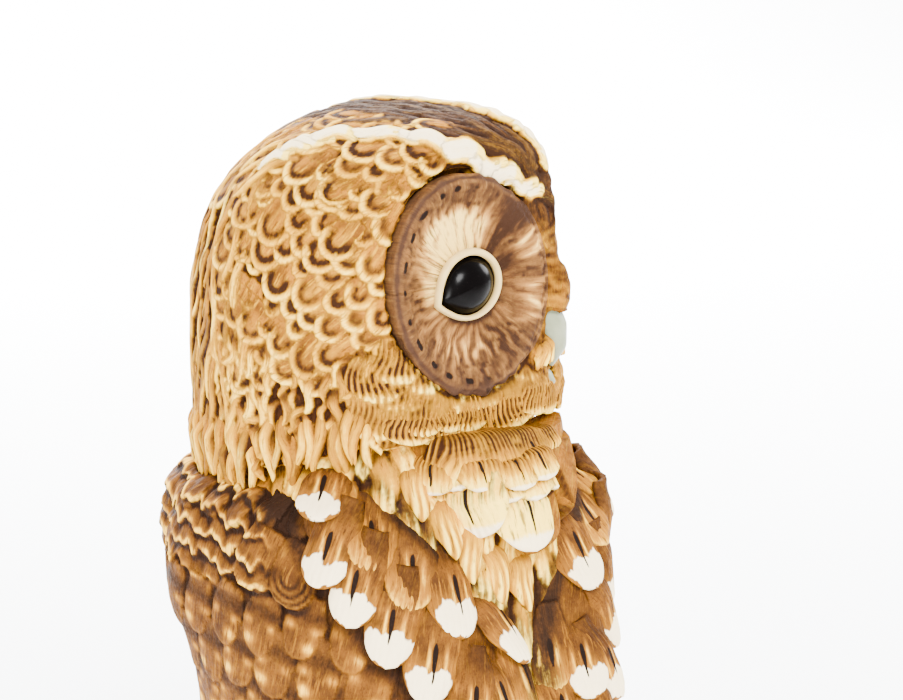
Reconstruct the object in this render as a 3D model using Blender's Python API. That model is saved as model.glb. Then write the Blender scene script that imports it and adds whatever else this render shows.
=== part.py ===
"""A perched owl figurine in slip-cast bisque porcelain, built from the castings that are luted together.

Units: every dimension below is in millimetres and is turned to metres by MM where a point is made.
Frame: +Z up, the owl's body faces -Y, its right side is -X. The origin is the figurine's bottom centre.
Angles round the body, called theta, start at 0 at the front, and grow towards the owl's right side.
"""

import math

import bmesh
import bpy
from mathutils import Matrix, Vector

MM = 0.001

# ---- driving dimensions, mm ----
BODY_SHIFT_Y = 6.67  # moves the body's axis so that the bounding box is centred on the origin
STUMP_TOP = 40.0
NECK_TOP = 160.0
HEAD_CENTRE_Z = 180.0
HEAD_CENTRE_Y = 1.5  # behind the body's axis
HEAD_TURN_DEG = 32.0  # the head looks to the owl's left
TRUNK_WALL = 4.5
STUMP_WALL = 6.5
SLIP = 0.3  # joint line between two castings that rest on each other
LAYER_GAP = 0.45  # joint line under a draped feather layer
WING_THICK = 3.0
COVERT_THICK = 3.0
NECK_HOLE_R = 14.0
THROAT_TOP = 172.0  # the neck opening runs up this far into the head's hollow
VENT_R = 9.0  # the vent runs on through the trunk's foot and the stump
VENT_FORWARD = 3.0
SECTION_POWER = 2.2  # roundness of the trunk's cross-sections: 2 is an ellipse
SEGMENTS = 36

# Trunk cross-sections: height, half-width, reach to the front, reach to the back.
TRUNK = [
    (40.3, 17, 18, 12),
    (46, 19, 22, 13),
    (52, 24, 32, 16.5),
    (60, 28.5, 41, 19),
    (72, 32, 47, 21),
    (86, 34.5, 50, 22.5),
    (98, 36.2, 49, 24.5),
    (107, 38, 46.5, 28.5),
    (115, 39.2, 43.8, 32.5),
    (125, 39.8, 41.2, 35.4),
    (134, 39, 39.8, 35.6),
    (142, 36.4, 38, 34),
    (150, 30.8, 33, 30.5),
    (160, 26, 26, 26),
]

# Head cross-sections about its centre: height, half-width, reach to the front, reach to the back.
HEAD = [
    (-34, 36.4, 33, 37.4),
    (-28, 36.5, 34, 37.5),
    (-22, 36.6, 35, 37.3),
    (-16, 37, 35.4, 37.2),
    (-8, 37.4, 36.4, 37.2),
    (0, 37.4, 37.2, 37),
    (8, 37, 37.3, 35.6),
    (15, 35.6, 37, 33.2),
    (21, 33.2, 35.8, 29.8),
    (26, 30, 33.6, 25.2),
    (30.5, 25.4, 29.6, 19.8),
    (33.8, 19, 23.2, 14),
    (35.6, 11.6, 14.5, 9),
    (36.4, 3.6, 4.6, 3),
]
# How low the ruff hangs at each angle round the body, in degrees, and in mm from the head's centre.
RUFF_HEM = [
    (-180, -34), (-150, -34), (-117, -31.5), (-95, -29), (-75, -25.5), (-55, -22), (-15, -21), (20, -21.5),
    (35, -23), (48, -26), (60, -28.5), (83, -31), (117, -34), (180, -34),
]

DISC_CENTRE = (25.2, 19.2, 4.8)  # forward, to the side, up, from the head's centre
DISC_YAW_DEG = 34.4  # how far each facial disc faces away from straight ahead
DISC_PITCH_DEG = 6.0
DISC_HALF_W = 17.5
DISC_HALF_H = 20.7
DISC_BACK = -3.2  # the disc's flat back, below its rim plane
DISC_HOLE_R = 7.4
CLEARANCE = 0.4
EYE_R = 7.2
EYE_SINK = -4.2  # the eyeball's centre, below the disc's rim plane
EYE_DROP = -0.1  # and below the disc's own centre
# Half-section of a facial disc: distance in from its rim, height over its rim plane.
DISC_SECTION = [(0.0, 0.2), (0.6, 1.3), (2.2, 1.7), (4.2, 0.5), (7.0, -0.6)]
DISC_DISH_R = 9.6  # where the dish turns round, about the eye
# Half-section of an eyelid: radius, height over the disc's rim plane.
EYELID_SECTION = [(5.3, 1.2), (6.45, -0.4), (6.95, -1.4), (7.1, -1.4), (7.1, 0.1), (6.7, 1.0), (6.0, 1.5)]
NOSE_CENTRE = (0, -35, 1.2)
NOSE_REACH = (4.4, 4.8, 7.2)  # half-width, half-depth, half-height
HEAD_HOLLOW_CENTRE = (0, 8, 3)
HEAD_HOLLOW_REACH = (26, 24.5, 26)
# Both halves of the beak, in the head's frame: forward is -Y.
UPPER_BEAK_PATH = [(0, -30.5, -1), (0, -33.6, -2.8), (0, -35.6, -6.4), (0, -36.2, -10), (0, -35.2, -14)]
UPPER_BEAK_RADII = [3.6, 3.6, 3.1, 2.3, 0.6]
LOWER_BEAK_PATH = [(0, -29, -12), (0, -32, -14.2), (0, -34.6, -16.2), (0, -36, -17.6)]
LOWER_BEAK_RADII = [1.5, 1.6, 1.3, 0.6]
LOWER_BEAK_FLAT = 1.5  # how much wider than it is deep

# Outlines of the draped layers on the owl's right side: from top to bottom, (share of the way down,
# theta and height on the rear or lower edge, theta and height on the front or upper edge).
COVERTS = [
    (0.0, (62, 150.4), (48, 151)),
    (0.15, (60, 143), (36, 145)),
    (0.3, (52, 136), (25.5, 138.5)),
    (0.45, (44.5, 129), (16.5, 131)),
    (0.6, (37, 121.5), (7, 123.5)),
    (0.72, (29, 114), (1.7, 115)),
    (0.86, (19, 103.5), (1.6, 103)),
    (1.0, (9, 92), (3, 91)),
]
WING = [
    (0.0, (117, 145.2), (58, 150.5)),
    (0.12, (124, 138), (46, 141)),
    (0.25, (132, 128), (34, 131)),
    (0.38, (141, 117), (22, 120)),
    (0.5, (150, 106), (12.5, 107)),
    (0.62, (158, 94), (11.5, 94)),
    (0.74, (163, 82), (22, 80)),
    (0.85, (166, 71.5), (46, 69)),
    (0.93, (167, 64), (82, 61)),
    (1.0, (167.5, 57), (128, 54.5)),
]
LEFT_COVERT_SHIFT = 5.0  # the left shoulder is drawn forward by the turn of the head, degrees at its top
# The back mantle, from one side edge to the other.
MANTLE = [
    (0.0, (-110, 144.8), (110, 144.8)),
    (0.3, (-119, 133), (119, 133)),
    (0.55, (-127, 122), (127, 122)),
    (0.75, (-143, 112), (143, 112)),
    (0.9, (-160, 103.5), (160, 103.5)),
    (1.0, (-172, 99.5), (172, 99.5)),
]
BIB = [
    (0.0, (28, 155.6), (-50, 156)),
    (0.25, (23, 151), (-40, 151.5)),
    (0.45, (17, 146.5), (-30.5, 146.5)),
    (0.65, (8, 141), (-22, 141)),
    (0.85, (1, 136.5), (-14, 136.5)),
    (1.0, (-3, 133.5), (-8, 133.5)),
]
# How the wings hang clear of the trunk behind: height, half-width, reach to the front, reach to the back.
WING_HANG = [
    (40, 31, 34, 27.6),
    (60, 34, 42, 27.6),
    (80, 35.4, 49, 27.6),
    (98, 36.2, 49, 27.4),
    (107, 38, 46.5, 28.5),
]
# Tail: height, inner face, outer face, half-width.
TAIL = [
    (90, 24.4, 26.0, 9),
    (84, 23.3, 26.5, 12.5),
    (74, 22.4, 26.6, 14),
    (60, 22.0, 26.6, 15.5),
    (44, 22.8, 27.0, 17),
    (26, 25.6, 29.2, 19),
    (13, 27.8, 30.6, 15.5),
]
# Stump: height, half-width, reach to the front, reach to the back.
STUMP = [
    (0, 40, 42, 31),
    (3, 41, 43, 32),
    (10, 38, 40, 31),
    (22, 34.5, 37, 29),
    (34, 34, 37, 27.5),
    (38, 33, 36, 26.5),
    (40, 31, 34, 25),
]
STUMP_AXIS_Y = -6.0
FOOT_CENTRE = (10.5, -26.5)  # to the side and along Y, from the body's axis
FOOT_PAD_REACH = (6.4, 4.2, 4.0)
FOOT_PAD_Z = 4.3
TOE_SPREADS_DEG = (-24, 0, 24)
# One toe and its talon, in the foot's frame: forward is -Y.
TOE_PATH = [(0, 0.5, 4.0), (0, -4, 4.4), (0, -8, 3.6), (0, -9.8, 3.0)]
TOE_RADII = [2.4, 2.9, 2.7, 1.6]
TALON_PATH = [(0, -7.6, 3.8), (0, -10.4, 4.0), (0, -12.4, 2.6), (0, -13.2, 0.9)]
TALON_RADII = [1.3, 1.25, 0.9, 0.3]
BARK_RIDGES = 9
BARK_DEPTH = 1.1

# ---- materials: colour, roughness, metallic ----
FINISHES = {
    "brown_bisque": ((0.46, 0.25, 0.11), 0.65, 0.0),
    "cream_bisque": ((0.83, 0.65, 0.38), 0.6, 0.0),
    "dark_bisque": ((0.2, 0.1, 0.05), 0.65, 0.0),
    "black_glaze": ((0.006, 0.006, 0.007), 0.08, 0.0),
    "ivory_glaze": ((0.85, 0.8, 0.62), 0.25, 0.0),
    "bark_bisque": ((0.25, 0.17, 0.1), 0.75, 0.0),
}


def clear_scene():
    for obj in list(bpy.data.objects):
        bpy.data.objects.remove(obj)


def finish(name):
    if name in bpy.data.materials:
        return bpy.data.materials[name]
    colour, rough, metal = FINISHES[name]
    made = bpy.data.materials.new(name)
    made.use_nodes = True
    shader = made.node_tree.nodes["Principled BSDF"]
    shader.inputs["Base Color"].default_value = (*colour, 1.0)
    shader.inputs["Roughness"].default_value = rough
    shader.inputs["Metallic"].default_value = metal
    return made


def smooth_between(rows, at):
    """A smooth curve through rows of (position, value, value, ...), read at a position."""
    low_to_high = sorted(rows)
    at = min(max(at, low_to_high[0][0]), low_to_high[-1][0])
    for i in range(len(low_to_high) - 1):
        if at <= low_to_high[i + 1][0]:
            break
    before, after = low_to_high[i], low_to_high[i + 1]
    outer = (low_to_high[max(i - 1, 0)], low_to_high[min(i + 2, len(low_to_high) - 1)])
    span = after[0] - before[0]
    t = (at - before[0]) / span
    found = []
    for k in range(1, len(before)):
        slope_in = (after[k] - outer[0][k]) / (after[0] - outer[0][0])
        slope_out = (outer[1][k] - before[k]) / (outer[1][0] - before[0])
        found.append(
            (2 * t**3 - 3 * t**2 + 1) * before[k]
            + (t**3 - 2 * t**2 + t) * span * slope_in
            + (3 * t**2 - 2 * t**3) * after[k]
            + (t**3 - t**2) * span * slope_out
        )
    return found


def section_radius(half_width, front, back, theta, power=SECTION_POWER):
    side, ahead = abs(math.sin(theta)), math.cos(theta)
    reach = front if ahead > 0 else back
    return ((side / half_width) ** power + (abs(ahead) / reach) ** power) ** (-1 / power)


def around(theta, radius, height, centre_y=0.0):
    """The point at this angle from the front, towards the owl's right, in metres."""
    return Vector((-math.sin(theta) * radius, centre_y - math.cos(theta) * radius, height)) * MM


def trunk_radius(theta, height):
    return section_radius(*smooth_between(TRUNK, height), theta)


def trunk_point(theta, height, offset=0.0):
    return around(theta, trunk_radius(theta, height) + offset, height, BODY_SHIFT_Y)


def ring_angles(count=SEGMENTS):
    return [math.tau * i / count for i in range(count)]


def link_mesh(name, bm, material, parent=None, smooth_deg=35):
    bmesh.ops.recalc_face_normals(bm, faces=bm.faces)
    mesh = bpy.data.meshes.new(name)
    bm.to_mesh(mesh)
    bm.free()
    mesh.shade_smooth()
    mesh.set_sharp_from_angle(angle=math.radians(smooth_deg))
    obj = bpy.data.objects.new(name, mesh)
    bpy.context.scene.collection.objects.link(obj)
    mesh.materials.append(finish(material))
    obj.parent = parent
    return obj


def loft(rings, ring_loop=False):
    """A mesh through rings of equal length. With ring_loop, the last ring joins the first, round a hollow."""
    bm = bmesh.new()
    rows = [[bm.verts.new(point) for point in ring] for ring in rings]
    pairs = list(zip(rows, rows[1:]))
    if ring_loop:
        pairs.append((rows[-1], rows[0]))
    for below, above in pairs:
        count = len(below)
        for i in range(count):
            j = (i + 1) % count
            bm.faces.new((below[i], below[j], above[j], above[i]))
    if not ring_loop:
        bm.faces.new(list(reversed(rows[0])))
        bm.faces.new(rows[-1])
    return bm


def cutter(obj):
    obj.hide_render = True
    obj.display_type = "WIRE"
    return obj


def boolean(obj, other, operation="DIFFERENCE"):
    modifier = obj.modifiers.new(operation.title() + "_" + other.name, "BOOLEAN")
    modifier.operation = operation
    modifier.object = other
    return modifier


# ---- trunk and stump ----


def vent_ring(angles, height):
    return [around(t, VENT_R, height, BODY_SHIFT_Y - VENT_FORWARD) for t in angles]


def make_trunk():
    angles = ring_angles()
    outer = [[trunk_point(t, row[0]) for t in angles] for row in TRUNK]
    hollow_heights = [154, 145, 134, 120, 104, 88, 72, 61, 54]
    hollow = [[trunk_point(t, z, -TRUNK_WALL) for t in angles] for z in hollow_heights]
    neck = [[around(t, NECK_HOLE_R, z, BODY_SHIFT_Y) for t in angles] for z in (NECK_TOP, 155.5)]
    vent = [vent_ring(angles, z) for z in (49.5, TRUNK[0][0])]
    rings = outer + neck + hollow + vent
    return link_mesh("trunk", loft(rings, ring_loop=True), "brown_bisque")


def make_trunk_clearance():
    """The trunk grown by a joint's width, which cuts the seat in the head."""
    angles = ring_angles()
    heights = [120, 130, 138, 142, 146, 150, 155]
    rings = [[trunk_point(t, z, CLEARANCE) for t in angles] for z in heights]
    rings.append([trunk_point(t, NECK_TOP, CLEARANCE) + Vector((0, 0, SLIP * MM)) for t in angles])
    return cutter(link_mesh("trunk_clearance", loft(rings), "brown_bisque"))


def stump_point(theta, height, offset=0.0):
    half_width, front, back = smooth_between(STUMP, height)
    bark = BARK_DEPTH * math.cos(BARK_RIDGES * theta + 0.05 * height) if offset == 0 else 0.0
    radius = section_radius(half_width, front, back, theta, 2.0) + bark + offset
    return around(theta, radius, height, BODY_SHIFT_Y + STUMP_AXIS_Y)


def make_stump():
    angles = ring_angles(54)
    outer = [[stump_point(t, z) for t in angles] for z in (0, 3, 10, 18, 26, 34, 38)]
    outer.append([stump_point(t, STUMP_TOP, -0.001) for t in angles])
    top = [vent_ring(angles, z) for z in (STUMP_TOP, 35.5)]
    hollow = [[stump_point(t, z, -STUMP_WALL) for t in angles] for z in (34.5, 26, 16, 7, 5)]
    vent = [vent_ring(angles, z) for z in (4.5, 0)]
    rings = outer + top + hollow + vent
    return link_mesh("stump_base", loft(rings, ring_loop=True), "bark_bisque")


# ---- layers of feathers draped over the trunk ----


def outline_at(outline, share):
    flat = [(s, *rear, *front) for s, rear, front in outline]
    rear_theta, rear_z, front_theta, front_z = smooth_between(flat, share)
    return (rear_theta, rear_z), (front_theta, front_z)


def eased(t):
    t = min(max(t, 0.0), 1.0)
    return t * t * (3 - 2 * t)


def draped_layer(name, outline, rows, columns, rest, thickness, material, mirrored=False, shift=0.0):
    """A closed shell over the trunk. rest(s, t) is its inner side's height over the trunk, and
    thickness(s, t) its thickness there, s from its top to its bottom and t from its first edge to its second.
    shift turns its top that many degrees towards the front."""
    side = -1 if mirrored else 1
    inner, outer = [], []
    for i in range(rows + 1):
        s = i / rows
        (theta_a, z_a), (theta_b, z_b) = outline_at(outline, s)
        inner_row, outer_row = [], []
        for j in range(columns + 1):
            t = j / columns
            theta = math.radians(side * (theta_a + (theta_b - theta_a) * t - shift * (1 - s)))
            height = z_a + (z_b - z_a) * t
            low = rest(s, t)
            inner_row.append(trunk_point(theta, height, low))
            outer_row.append(trunk_point(theta, height, low + thickness(s, t)))
        inner.append(inner_row)
        outer.append(outer_row)
    bm = bmesh.new()
    skins = [[[bm.verts.new(p) for p in row] for row in skin] for skin in (inner, outer)]
    for skin in skins:
        for i in range(rows):
            for j in range(columns):
                bm.faces.new((skin[i][j], skin[i][j + 1], skin[i + 1][j + 1], skin[i + 1][j]))
    border = [(0, j) for j in range(columns)] + [(i, columns) for i in range(rows)]
    border += [(rows, j) for j in range(columns, 0, -1)] + [(i, 0) for i in range(rows, 0, -1)]
    for k, (i, j) in enumerate(border):
        m, n = border[(k + 1) % len(border)]
        bm.faces.new((skins[0][i][j], skins[0][m][n], skins[1][m][n], skins[1][i][j]))
    return link_mesh(name, bm, material)


def rounded_edges(full, edge_s=0.07, edge_t=0.12, least=0.9):
    """Thickness that is full in the middle of a layer and thins to its edges."""

    def thickness(s, t):
        inset = min(s / edge_s, (1 - s) / edge_s, t / edge_t, (1 - t) / edge_t, 1.0)
        return least + (full - least) * math.sin(inset * math.pi / 2) ** 0.8

    return thickness


OVER_WING = LAYER_GAP + WING_THICK + LAYER_GAP


def wing_rest(s, t):
    """Close to the trunk at the shoulder and in front, and hanging clear of it behind."""
    (theta_a, z_a), (theta_b, z_b) = outline_at(WING, s)
    theta, height = theta_a + (theta_b - theta_a) * t, z_a + (z_b - z_a) * t
    if height >= WING_HANG[-1][0]:
        return LAYER_GAP
    theta_rad = math.radians(theta)
    hung = section_radius(*smooth_between(WING_HANG, height), theta_rad)
    stand_off = hung - trunk_radius(theta_rad, height)
    return LAYER_GAP + max(stand_off, 0.0) * eased((theta - 45) / 60)


def coverts_rest(s, t):
    """Over the wing along the rear edge, and down on the trunk along the front edge."""
    return OVER_WING + (LAYER_GAP - OVER_WING) * eased((t - 0.42) / 0.3)


def mantle_rest(s, t):
    """Over both wings at its sides, and down on the trunk in the middle."""
    (first, height), (last, _) = outline_at(MANTLE, s)
    from_front = 180 - abs(180 - (360 + first + (last - 360 - first) * t))
    wing_edge = smooth_between([(z, theta) for _, (theta, z), _ in WING], height)[0]
    return OVER_WING + (LAYER_GAP - OVER_WING) * eased((from_front - wing_edge - 2) / 9)


def mantle_thickness(s, t):
    """An even outer face over the uneven inner one, thinning to the edges."""
    inset = min(s / 0.1, (1 - s) / 0.16, t / 0.08, (1 - t) / 0.08, 1.0)
    edge = 0.9 + 1.4 * math.sin(inset * math.pi / 2) ** 0.8
    outside = OVER_WING + (LAYER_GAP + 1.2 - OVER_WING) * eased((s - 0.72) / 0.28)
    return max(outside + edge - mantle_rest(s, t), 0.9)


def bib_thickness(s, t):
    full = 7.0 - 4.0 * s
    inset = min(t / 0.16, (1 - t) / 0.16, (1 - s) / 0.12, 1.0)
    return 1.0 + (full - 1.0) * math.sin(max(inset, 0) * math.pi / 2) ** 0.8


def make_layers():
    for side, mirrored in (("right", False), ("left", True)):
        draped_layer(
            side + "_wing", WING, 18, 12, wing_rest, rounded_edges(WING_THICK),
            "brown_bisque", mirrored,
        )
        draped_layer(
            side + "_shoulder_coverts", COVERTS, 16, 7, coverts_rest,
            rounded_edges(COVERT_THICK, 0.08, 0.2), "brown_bisque", mirrored, LEFT_COVERT_SHIFT * mirrored,
        )
    # The mantle's outline runs behind the back, so its second edge is taken the long way round.
    behind = [(s, (360 + a, z), (b, y)) for s, (a, z), (b, y) in MANTLE]
    draped_layer(
        "back_mantle", behind, 10, 22, mantle_rest, mantle_thickness, "brown_bisque",
    )
    draped_layer(
        "breast_bib", BIB, 9, 10, lambda s, t: LAYER_GAP, bib_thickness, "cream_bisque",
    )


def make_tail():
    rings = []
    for height in (90, 84, 76, 66, 55, 44, 34, 26, 19, 13):
        inner, outer, half_width = smooth_between(TAIL, height)
        ring = []
        for k in range(20):
            angle = math.tau * k / 20
            across = math.copysign(abs(math.cos(angle)) ** 0.7, math.cos(angle))
            deep = math.copysign(abs(math.sin(angle)) ** 0.7, math.sin(angle))
            fan = -0.009 * (across * half_width) ** 2  # the outer feathers lie a little forward
            y = (inner + outer) / 2 + deep * (outer - inner) / 2 + fan
            ring.append(Vector((across * half_width, y + BODY_SHIFT_Y, height)) * MM)
        rings.append(ring)
    return link_mesh("tail", loft(rings), "brown_bisque")


# ---- head ----


def head_section(turn, height):
    """Radius of the head at an angle from its face, before the discs' facets are cut."""
    return section_radius(*smooth_between(HEAD, height), turn)


def facet_radius(turn, height):
    """Where a ray from the head's axis meets the plane of the nearer facial disc."""
    yaw, pitch = math.radians(DISC_YAW_DEG), math.radians(DISC_PITCH_DEG)
    ahead, aside, up = DISC_CENTRE
    turn = abs((turn + math.pi) % math.tau - math.pi)
    facing = math.cos(turn - yaw) * math.cos(pitch)
    reach = (ahead * math.cos(yaw) + aside * math.sin(yaw)) * math.cos(pitch)
    level = (up - height) * math.sin(pitch)
    return (reach + level) / facing if facing > 0.3 else 1e3


def head_radius(turn, height):
    plain, facet = head_section(turn, height), facet_radius(turn, height)
    blend = 2.0
    share = min(max(0.5 + (facet - plain) / (2 * blend), 0.0), 1.0)
    return facet + (plain - facet) * share - blend * share * (1 - share)


def ruff_hem(turn):
    theta = math.degrees(turn) - HEAD_TURN_DEG
    return smooth_between(RUFF_HEM, (theta + 180) % 360 - 180)[0]


def make_empty(name, location, rotation, parent=None):
    empty = bpy.data.objects.new(name, None)
    bpy.context.scene.collection.objects.link(empty)
    empty.parent = parent
    empty.location = location
    empty.rotation_euler = rotation
    return empty


def disc_mount(name, side, head_mount):
    """An empty at a facial disc's centre: its Z points out of the disc, and its Y up along it."""
    ahead, aside, up = DISC_CENTRE
    yaw, pitch = math.radians(DISC_YAW_DEG) * side, math.radians(DISC_PITCH_DEG)
    out = Vector(
        (-math.sin(yaw) * math.cos(pitch), -math.cos(yaw) * math.cos(pitch), math.sin(pitch))
    )
    across = Vector((0, 0, 1)).cross(out).normalized()
    turned = Matrix((across, out.cross(across), out)).transposed()
    place = Vector((-aside * side, -ahead, up)) * MM
    return make_empty(name, place, turned.to_euler(), head_mount)


def turned_profile(profile, count=32, wide=1.0, drop=0.0):
    """Rings about Z through (radius, height) pairs, stretched along X by wide and moved along Y by drop."""
    rings = []
    for radius, height in profile:
        ring = []
        for a in ring_angles(count):
            ring.append(Vector((radius * wide * math.cos(a), radius * math.sin(a) + drop, height)) * MM)
        rings.append(ring)
    return rings


def make_sphere(name, radius, material, parent, centre, stretch=(1, 1, 1), cuts=(20, 12)):
    bm = bmesh.new()
    bmesh.ops.create_uvsphere(bm, u_segments=cuts[0], v_segments=cuts[1], radius=radius * MM)
    bmesh.ops.scale(bm, vec=stretch, verts=bm.verts)
    bmesh.ops.translate(bm, vec=Vector(centre) * MM, verts=bm.verts)
    return link_mesh(name, bm, material, parent)


def tapered_horn(name, path, radii, material, parent, flat=1.0, count=12):
    """A curved horn through path points in the plane x = 0 of its parent; flat squeezes it across."""
    rings = []
    for i, (point, radius) in enumerate(zip(path, radii)):
        ahead = Vector(path[min(i + 1, len(path) - 1)]) - Vector(path[max(i - 1, 0)])
        ahead.normalize()
        across = Vector((1, 0, 0))
        up = ahead.cross(across)
        ring = []
        for a in ring_angles(count):
            offset = across * math.cos(a) * radius * flat + up * math.sin(a) * radius
            ring.append((Vector(point) + offset) * MM)
        rings.append(ring)
    return link_mesh(name, loft(rings), material, parent)


def make_head(head_mount, clearance):
    angles = ring_angles(48)
    heights = [-16, -10, -4, 2, 8, 14, 19, 23, 26.5, 29.5, 32, 34, 35.6, 36.3]
    rings = []
    for share in (0.0, 0.35, 0.7):
        ring = []
        for turn in angles:
            height = ruff_hem(turn) + (heights[0] - ruff_hem(turn)) * share
            tuck = 1.2 * (1 - share) ** 3
            ring.append(around(turn, head_radius(turn, height) - tuck, height))
        rings.append(ring)
    rings += [[around(turn, head_radius(turn, z), z) for turn in angles] for z in heights]
    head = link_mesh("head", loft(rings), "brown_bisque", head_mount)

    nose = make_sphere("nose_bridge", 1.0, "brown_bisque", head_mount, NOSE_CENTRE, NOSE_REACH)
    boolean(head, cutter(nose), "UNION")
    hollow = make_sphere(
        "head_hollow", 1.0, "brown_bisque", head_mount, HEAD_HOLLOW_CENTRE, HEAD_HOLLOW_REACH
    )
    boolean(head, cutter(hollow))
    boolean(head, clearance)
    throat = [
        [around(t, NECK_HOLE_R, z, BODY_SHIFT_Y) for t in ring_angles(24)] for z in (155, THROAT_TOP)
    ]
    boolean(head, cutter(link_mesh("head_throat", loft(throat), "brown_bisque")))
    return head


def make_face_side(name, side, head, head_mount):
    """One facial disc with its pocket in the head, the eyeball and the eyelid."""
    mount = disc_mount(name + "_disc_mount", side, head_mount)
    wide = DISC_HALF_W / DISC_HALF_H

    pocket_r = DISC_HALF_H + CLEARANCE
    pocket_rings = turned_profile(
        [(pocket_r, DISC_BACK - SLIP), (pocket_r, 12)], 36,
        (DISC_HALF_W + CLEARANCE) / pocket_r,
    )
    pocket = cutter(link_mesh(name + "_disc_pocket", loft(pocket_rings), "dark_bisque", mount))
    boolean(head, pocket)
    socket = cutter(
        make_sphere(
            name + "_eye_socket", EYE_R + CLEARANCE, "dark_bisque", mount, (0, EYE_DROP, EYE_SINK)
        )
    )
    boolean(head, socket)

    dish = turned_profile([(DISC_HALF_H - inset, z) for inset, z in DISC_SECTION], 36, wide)
    dish += turned_profile([(DISC_DISH_R, -0.7)], 36, 1.0, EYE_DROP)
    hole = turned_profile([(DISC_HOLE_R, -0.1), (DISC_HOLE_R, DISC_BACK)], 36, 1.0, EYE_DROP)
    back = turned_profile([(DISC_HALF_H, DISC_BACK)], 36, wide)
    disc = loft(dish + hole + back, ring_loop=True)
    link_mesh(name + "_facial_disc", disc, "cream_bisque", mount)

    centre = (0, EYE_DROP, EYE_SINK)
    make_sphere(name + "_eye", EYE_R, "black_glaze", mount, centre)
    lid_rings = turned_profile(EYELID_SECTION, 24, 1.0, EYE_DROP)
    link_mesh(name + "_eyelid", loft(lid_rings, ring_loop=True), "ivory_glaze", mount)


def make_beak_half(name, path, radii, flat, head, head_mount):
    """One half of the beak, and its seat in the head."""
    tapered_horn(name, path, radii, "ivory_glaze", head_mount, flat)
    grown = [r + CLEARANCE for r in radii]
    seat = tapered_horn(name + "_seat", path, grown, "dark_bisque", head_mount, flat)
    boolean(head, cutter(seat))


def make_beak(head, head_mount):
    make_beak_half("upper_beak", UPPER_BEAK_PATH, UPPER_BEAK_RADII, 1.0, head, head_mount)
    make_beak_half("lower_beak", LOWER_BEAK_PATH, LOWER_BEAK_RADII, LOWER_BEAK_FLAT, head, head_mount)


# ---- feet ----


def make_foot(name, side):
    """One foot: a feathered pad with three toes over the front of the stump, each with its talon."""
    aside, y = FOOT_CENTRE
    place = Vector((-aside * side, BODY_SHIFT_Y + y, STUMP_TOP + SLIP)) * MM
    mount = make_empty(name + "_mount", place, (0, 0, 0))
    foot = make_sphere(
        name, 1.0, "cream_bisque", mount, (0, 0, FOOT_PAD_Z), FOOT_PAD_REACH, (16, 10)
    )
    for k, spread_deg in enumerate(TOE_SPREADS_DEG):
        toe_mount = make_empty(
            name + "_toe_mount_" + str(k), (0, 0, 0), (0, 0, math.radians(spread_deg)), mount
        )
        toe = tapered_horn(name + "_toe_" + str(k), TOE_PATH, TOE_RADII, "cream_bisque", toe_mount)
        talon = tapered_horn(
            name + "_talon_" + str(k), TALON_PATH, TALON_RADII, "dark_bisque", toe_mount, count=8
        )
        boolean(foot, cutter(toe), "UNION")
        boolean(foot, cutter(talon), "UNION")
    return foot


def main():
    clear_scene()
    make_stump()
    make_trunk()
    make_layers()
    make_tail()
    head_mount = make_empty(
        "head_mount",
        Vector((0, BODY_SHIFT_Y + HEAD_CENTRE_Y, HEAD_CENTRE_Z)) * MM,
        (0, 0, math.radians(HEAD_TURN_DEG)),
    )
    head = make_head(head_mount, make_trunk_clearance())
    make_face_side("right", 1, head, head_mount)
    make_face_side("left", -1, head, head_mount)
    make_beak(head, head_mount)
    make_foot("right_foot", 1)
    make_foot("left_foot", -1)


main()
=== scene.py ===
"""Carves and paints a perched owl figurine in bisque porcelain over its packed castings, and sets it on a studio floor.

Lengths are in millimetres until a mesh is written. The owl's body faces -Y, and its right side is -X. Angles round the
body and the head start at the front and grow towards the owl's right side.
"""

import math
from functools import cached_property
from types import SimpleNamespace

import bmesh
import bpy
import numpy as np
from bpy.props import FloatProperty, FloatVectorProperty, PointerProperty
from bpy.types import Operator, Panel, PropertyGroup
from mathutils import Matrix, Vector
from mathutils.bvhtree import BVHTree


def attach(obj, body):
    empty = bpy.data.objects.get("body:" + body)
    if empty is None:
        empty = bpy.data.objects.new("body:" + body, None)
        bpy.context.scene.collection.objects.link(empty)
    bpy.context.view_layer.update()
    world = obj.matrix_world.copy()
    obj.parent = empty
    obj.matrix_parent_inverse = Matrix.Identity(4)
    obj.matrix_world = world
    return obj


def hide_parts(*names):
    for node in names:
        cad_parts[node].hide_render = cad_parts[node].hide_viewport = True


bl_info = {
    "name": "Bisque Owl Figurine",
    "version": (1, 0, 0),
    "blender": (4, 5, 0),
    "location": "3D View > Sidebar > Owl",
    "description": "Carves and paints a perched porcelain owl over its castings",
    "category": "Object",
}

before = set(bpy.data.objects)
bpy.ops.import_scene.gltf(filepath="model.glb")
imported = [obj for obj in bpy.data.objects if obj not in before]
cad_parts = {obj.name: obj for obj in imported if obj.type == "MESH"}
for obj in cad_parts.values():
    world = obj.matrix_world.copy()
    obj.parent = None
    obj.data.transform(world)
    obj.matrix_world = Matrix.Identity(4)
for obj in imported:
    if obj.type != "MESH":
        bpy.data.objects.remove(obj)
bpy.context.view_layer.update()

MM = 0.001
BODY_AXIS = Vector((0.0, 6.67, 0.0))
HEAD_CENTRE = Vector((0.0, 8.17, 180.0))
HEAD_TURN_DEG = 32.0
SIDES = {"right": 1, "left": -1}
# How wide a whole feather's root is, as a share of its width, and radians in a groove's wave.
PLUME_ROOT = 0.45
WAVE = 6.283


def linear(hex_colour):
    """A linear colour with alpha from an sRGB hex value."""
    found = []
    for i in (1, 3, 5):
        value = int(hex_colour[i : i + 2], 16) / 255
        found.append(value / 12.92 if value <= 0.04045 else ((value + 0.055) / 1.055) ** 2.4)
    return (*found, 1.0)


def opaque(colour):
    """A settings colour with full alpha."""
    return (*colour, 1.0)


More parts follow.
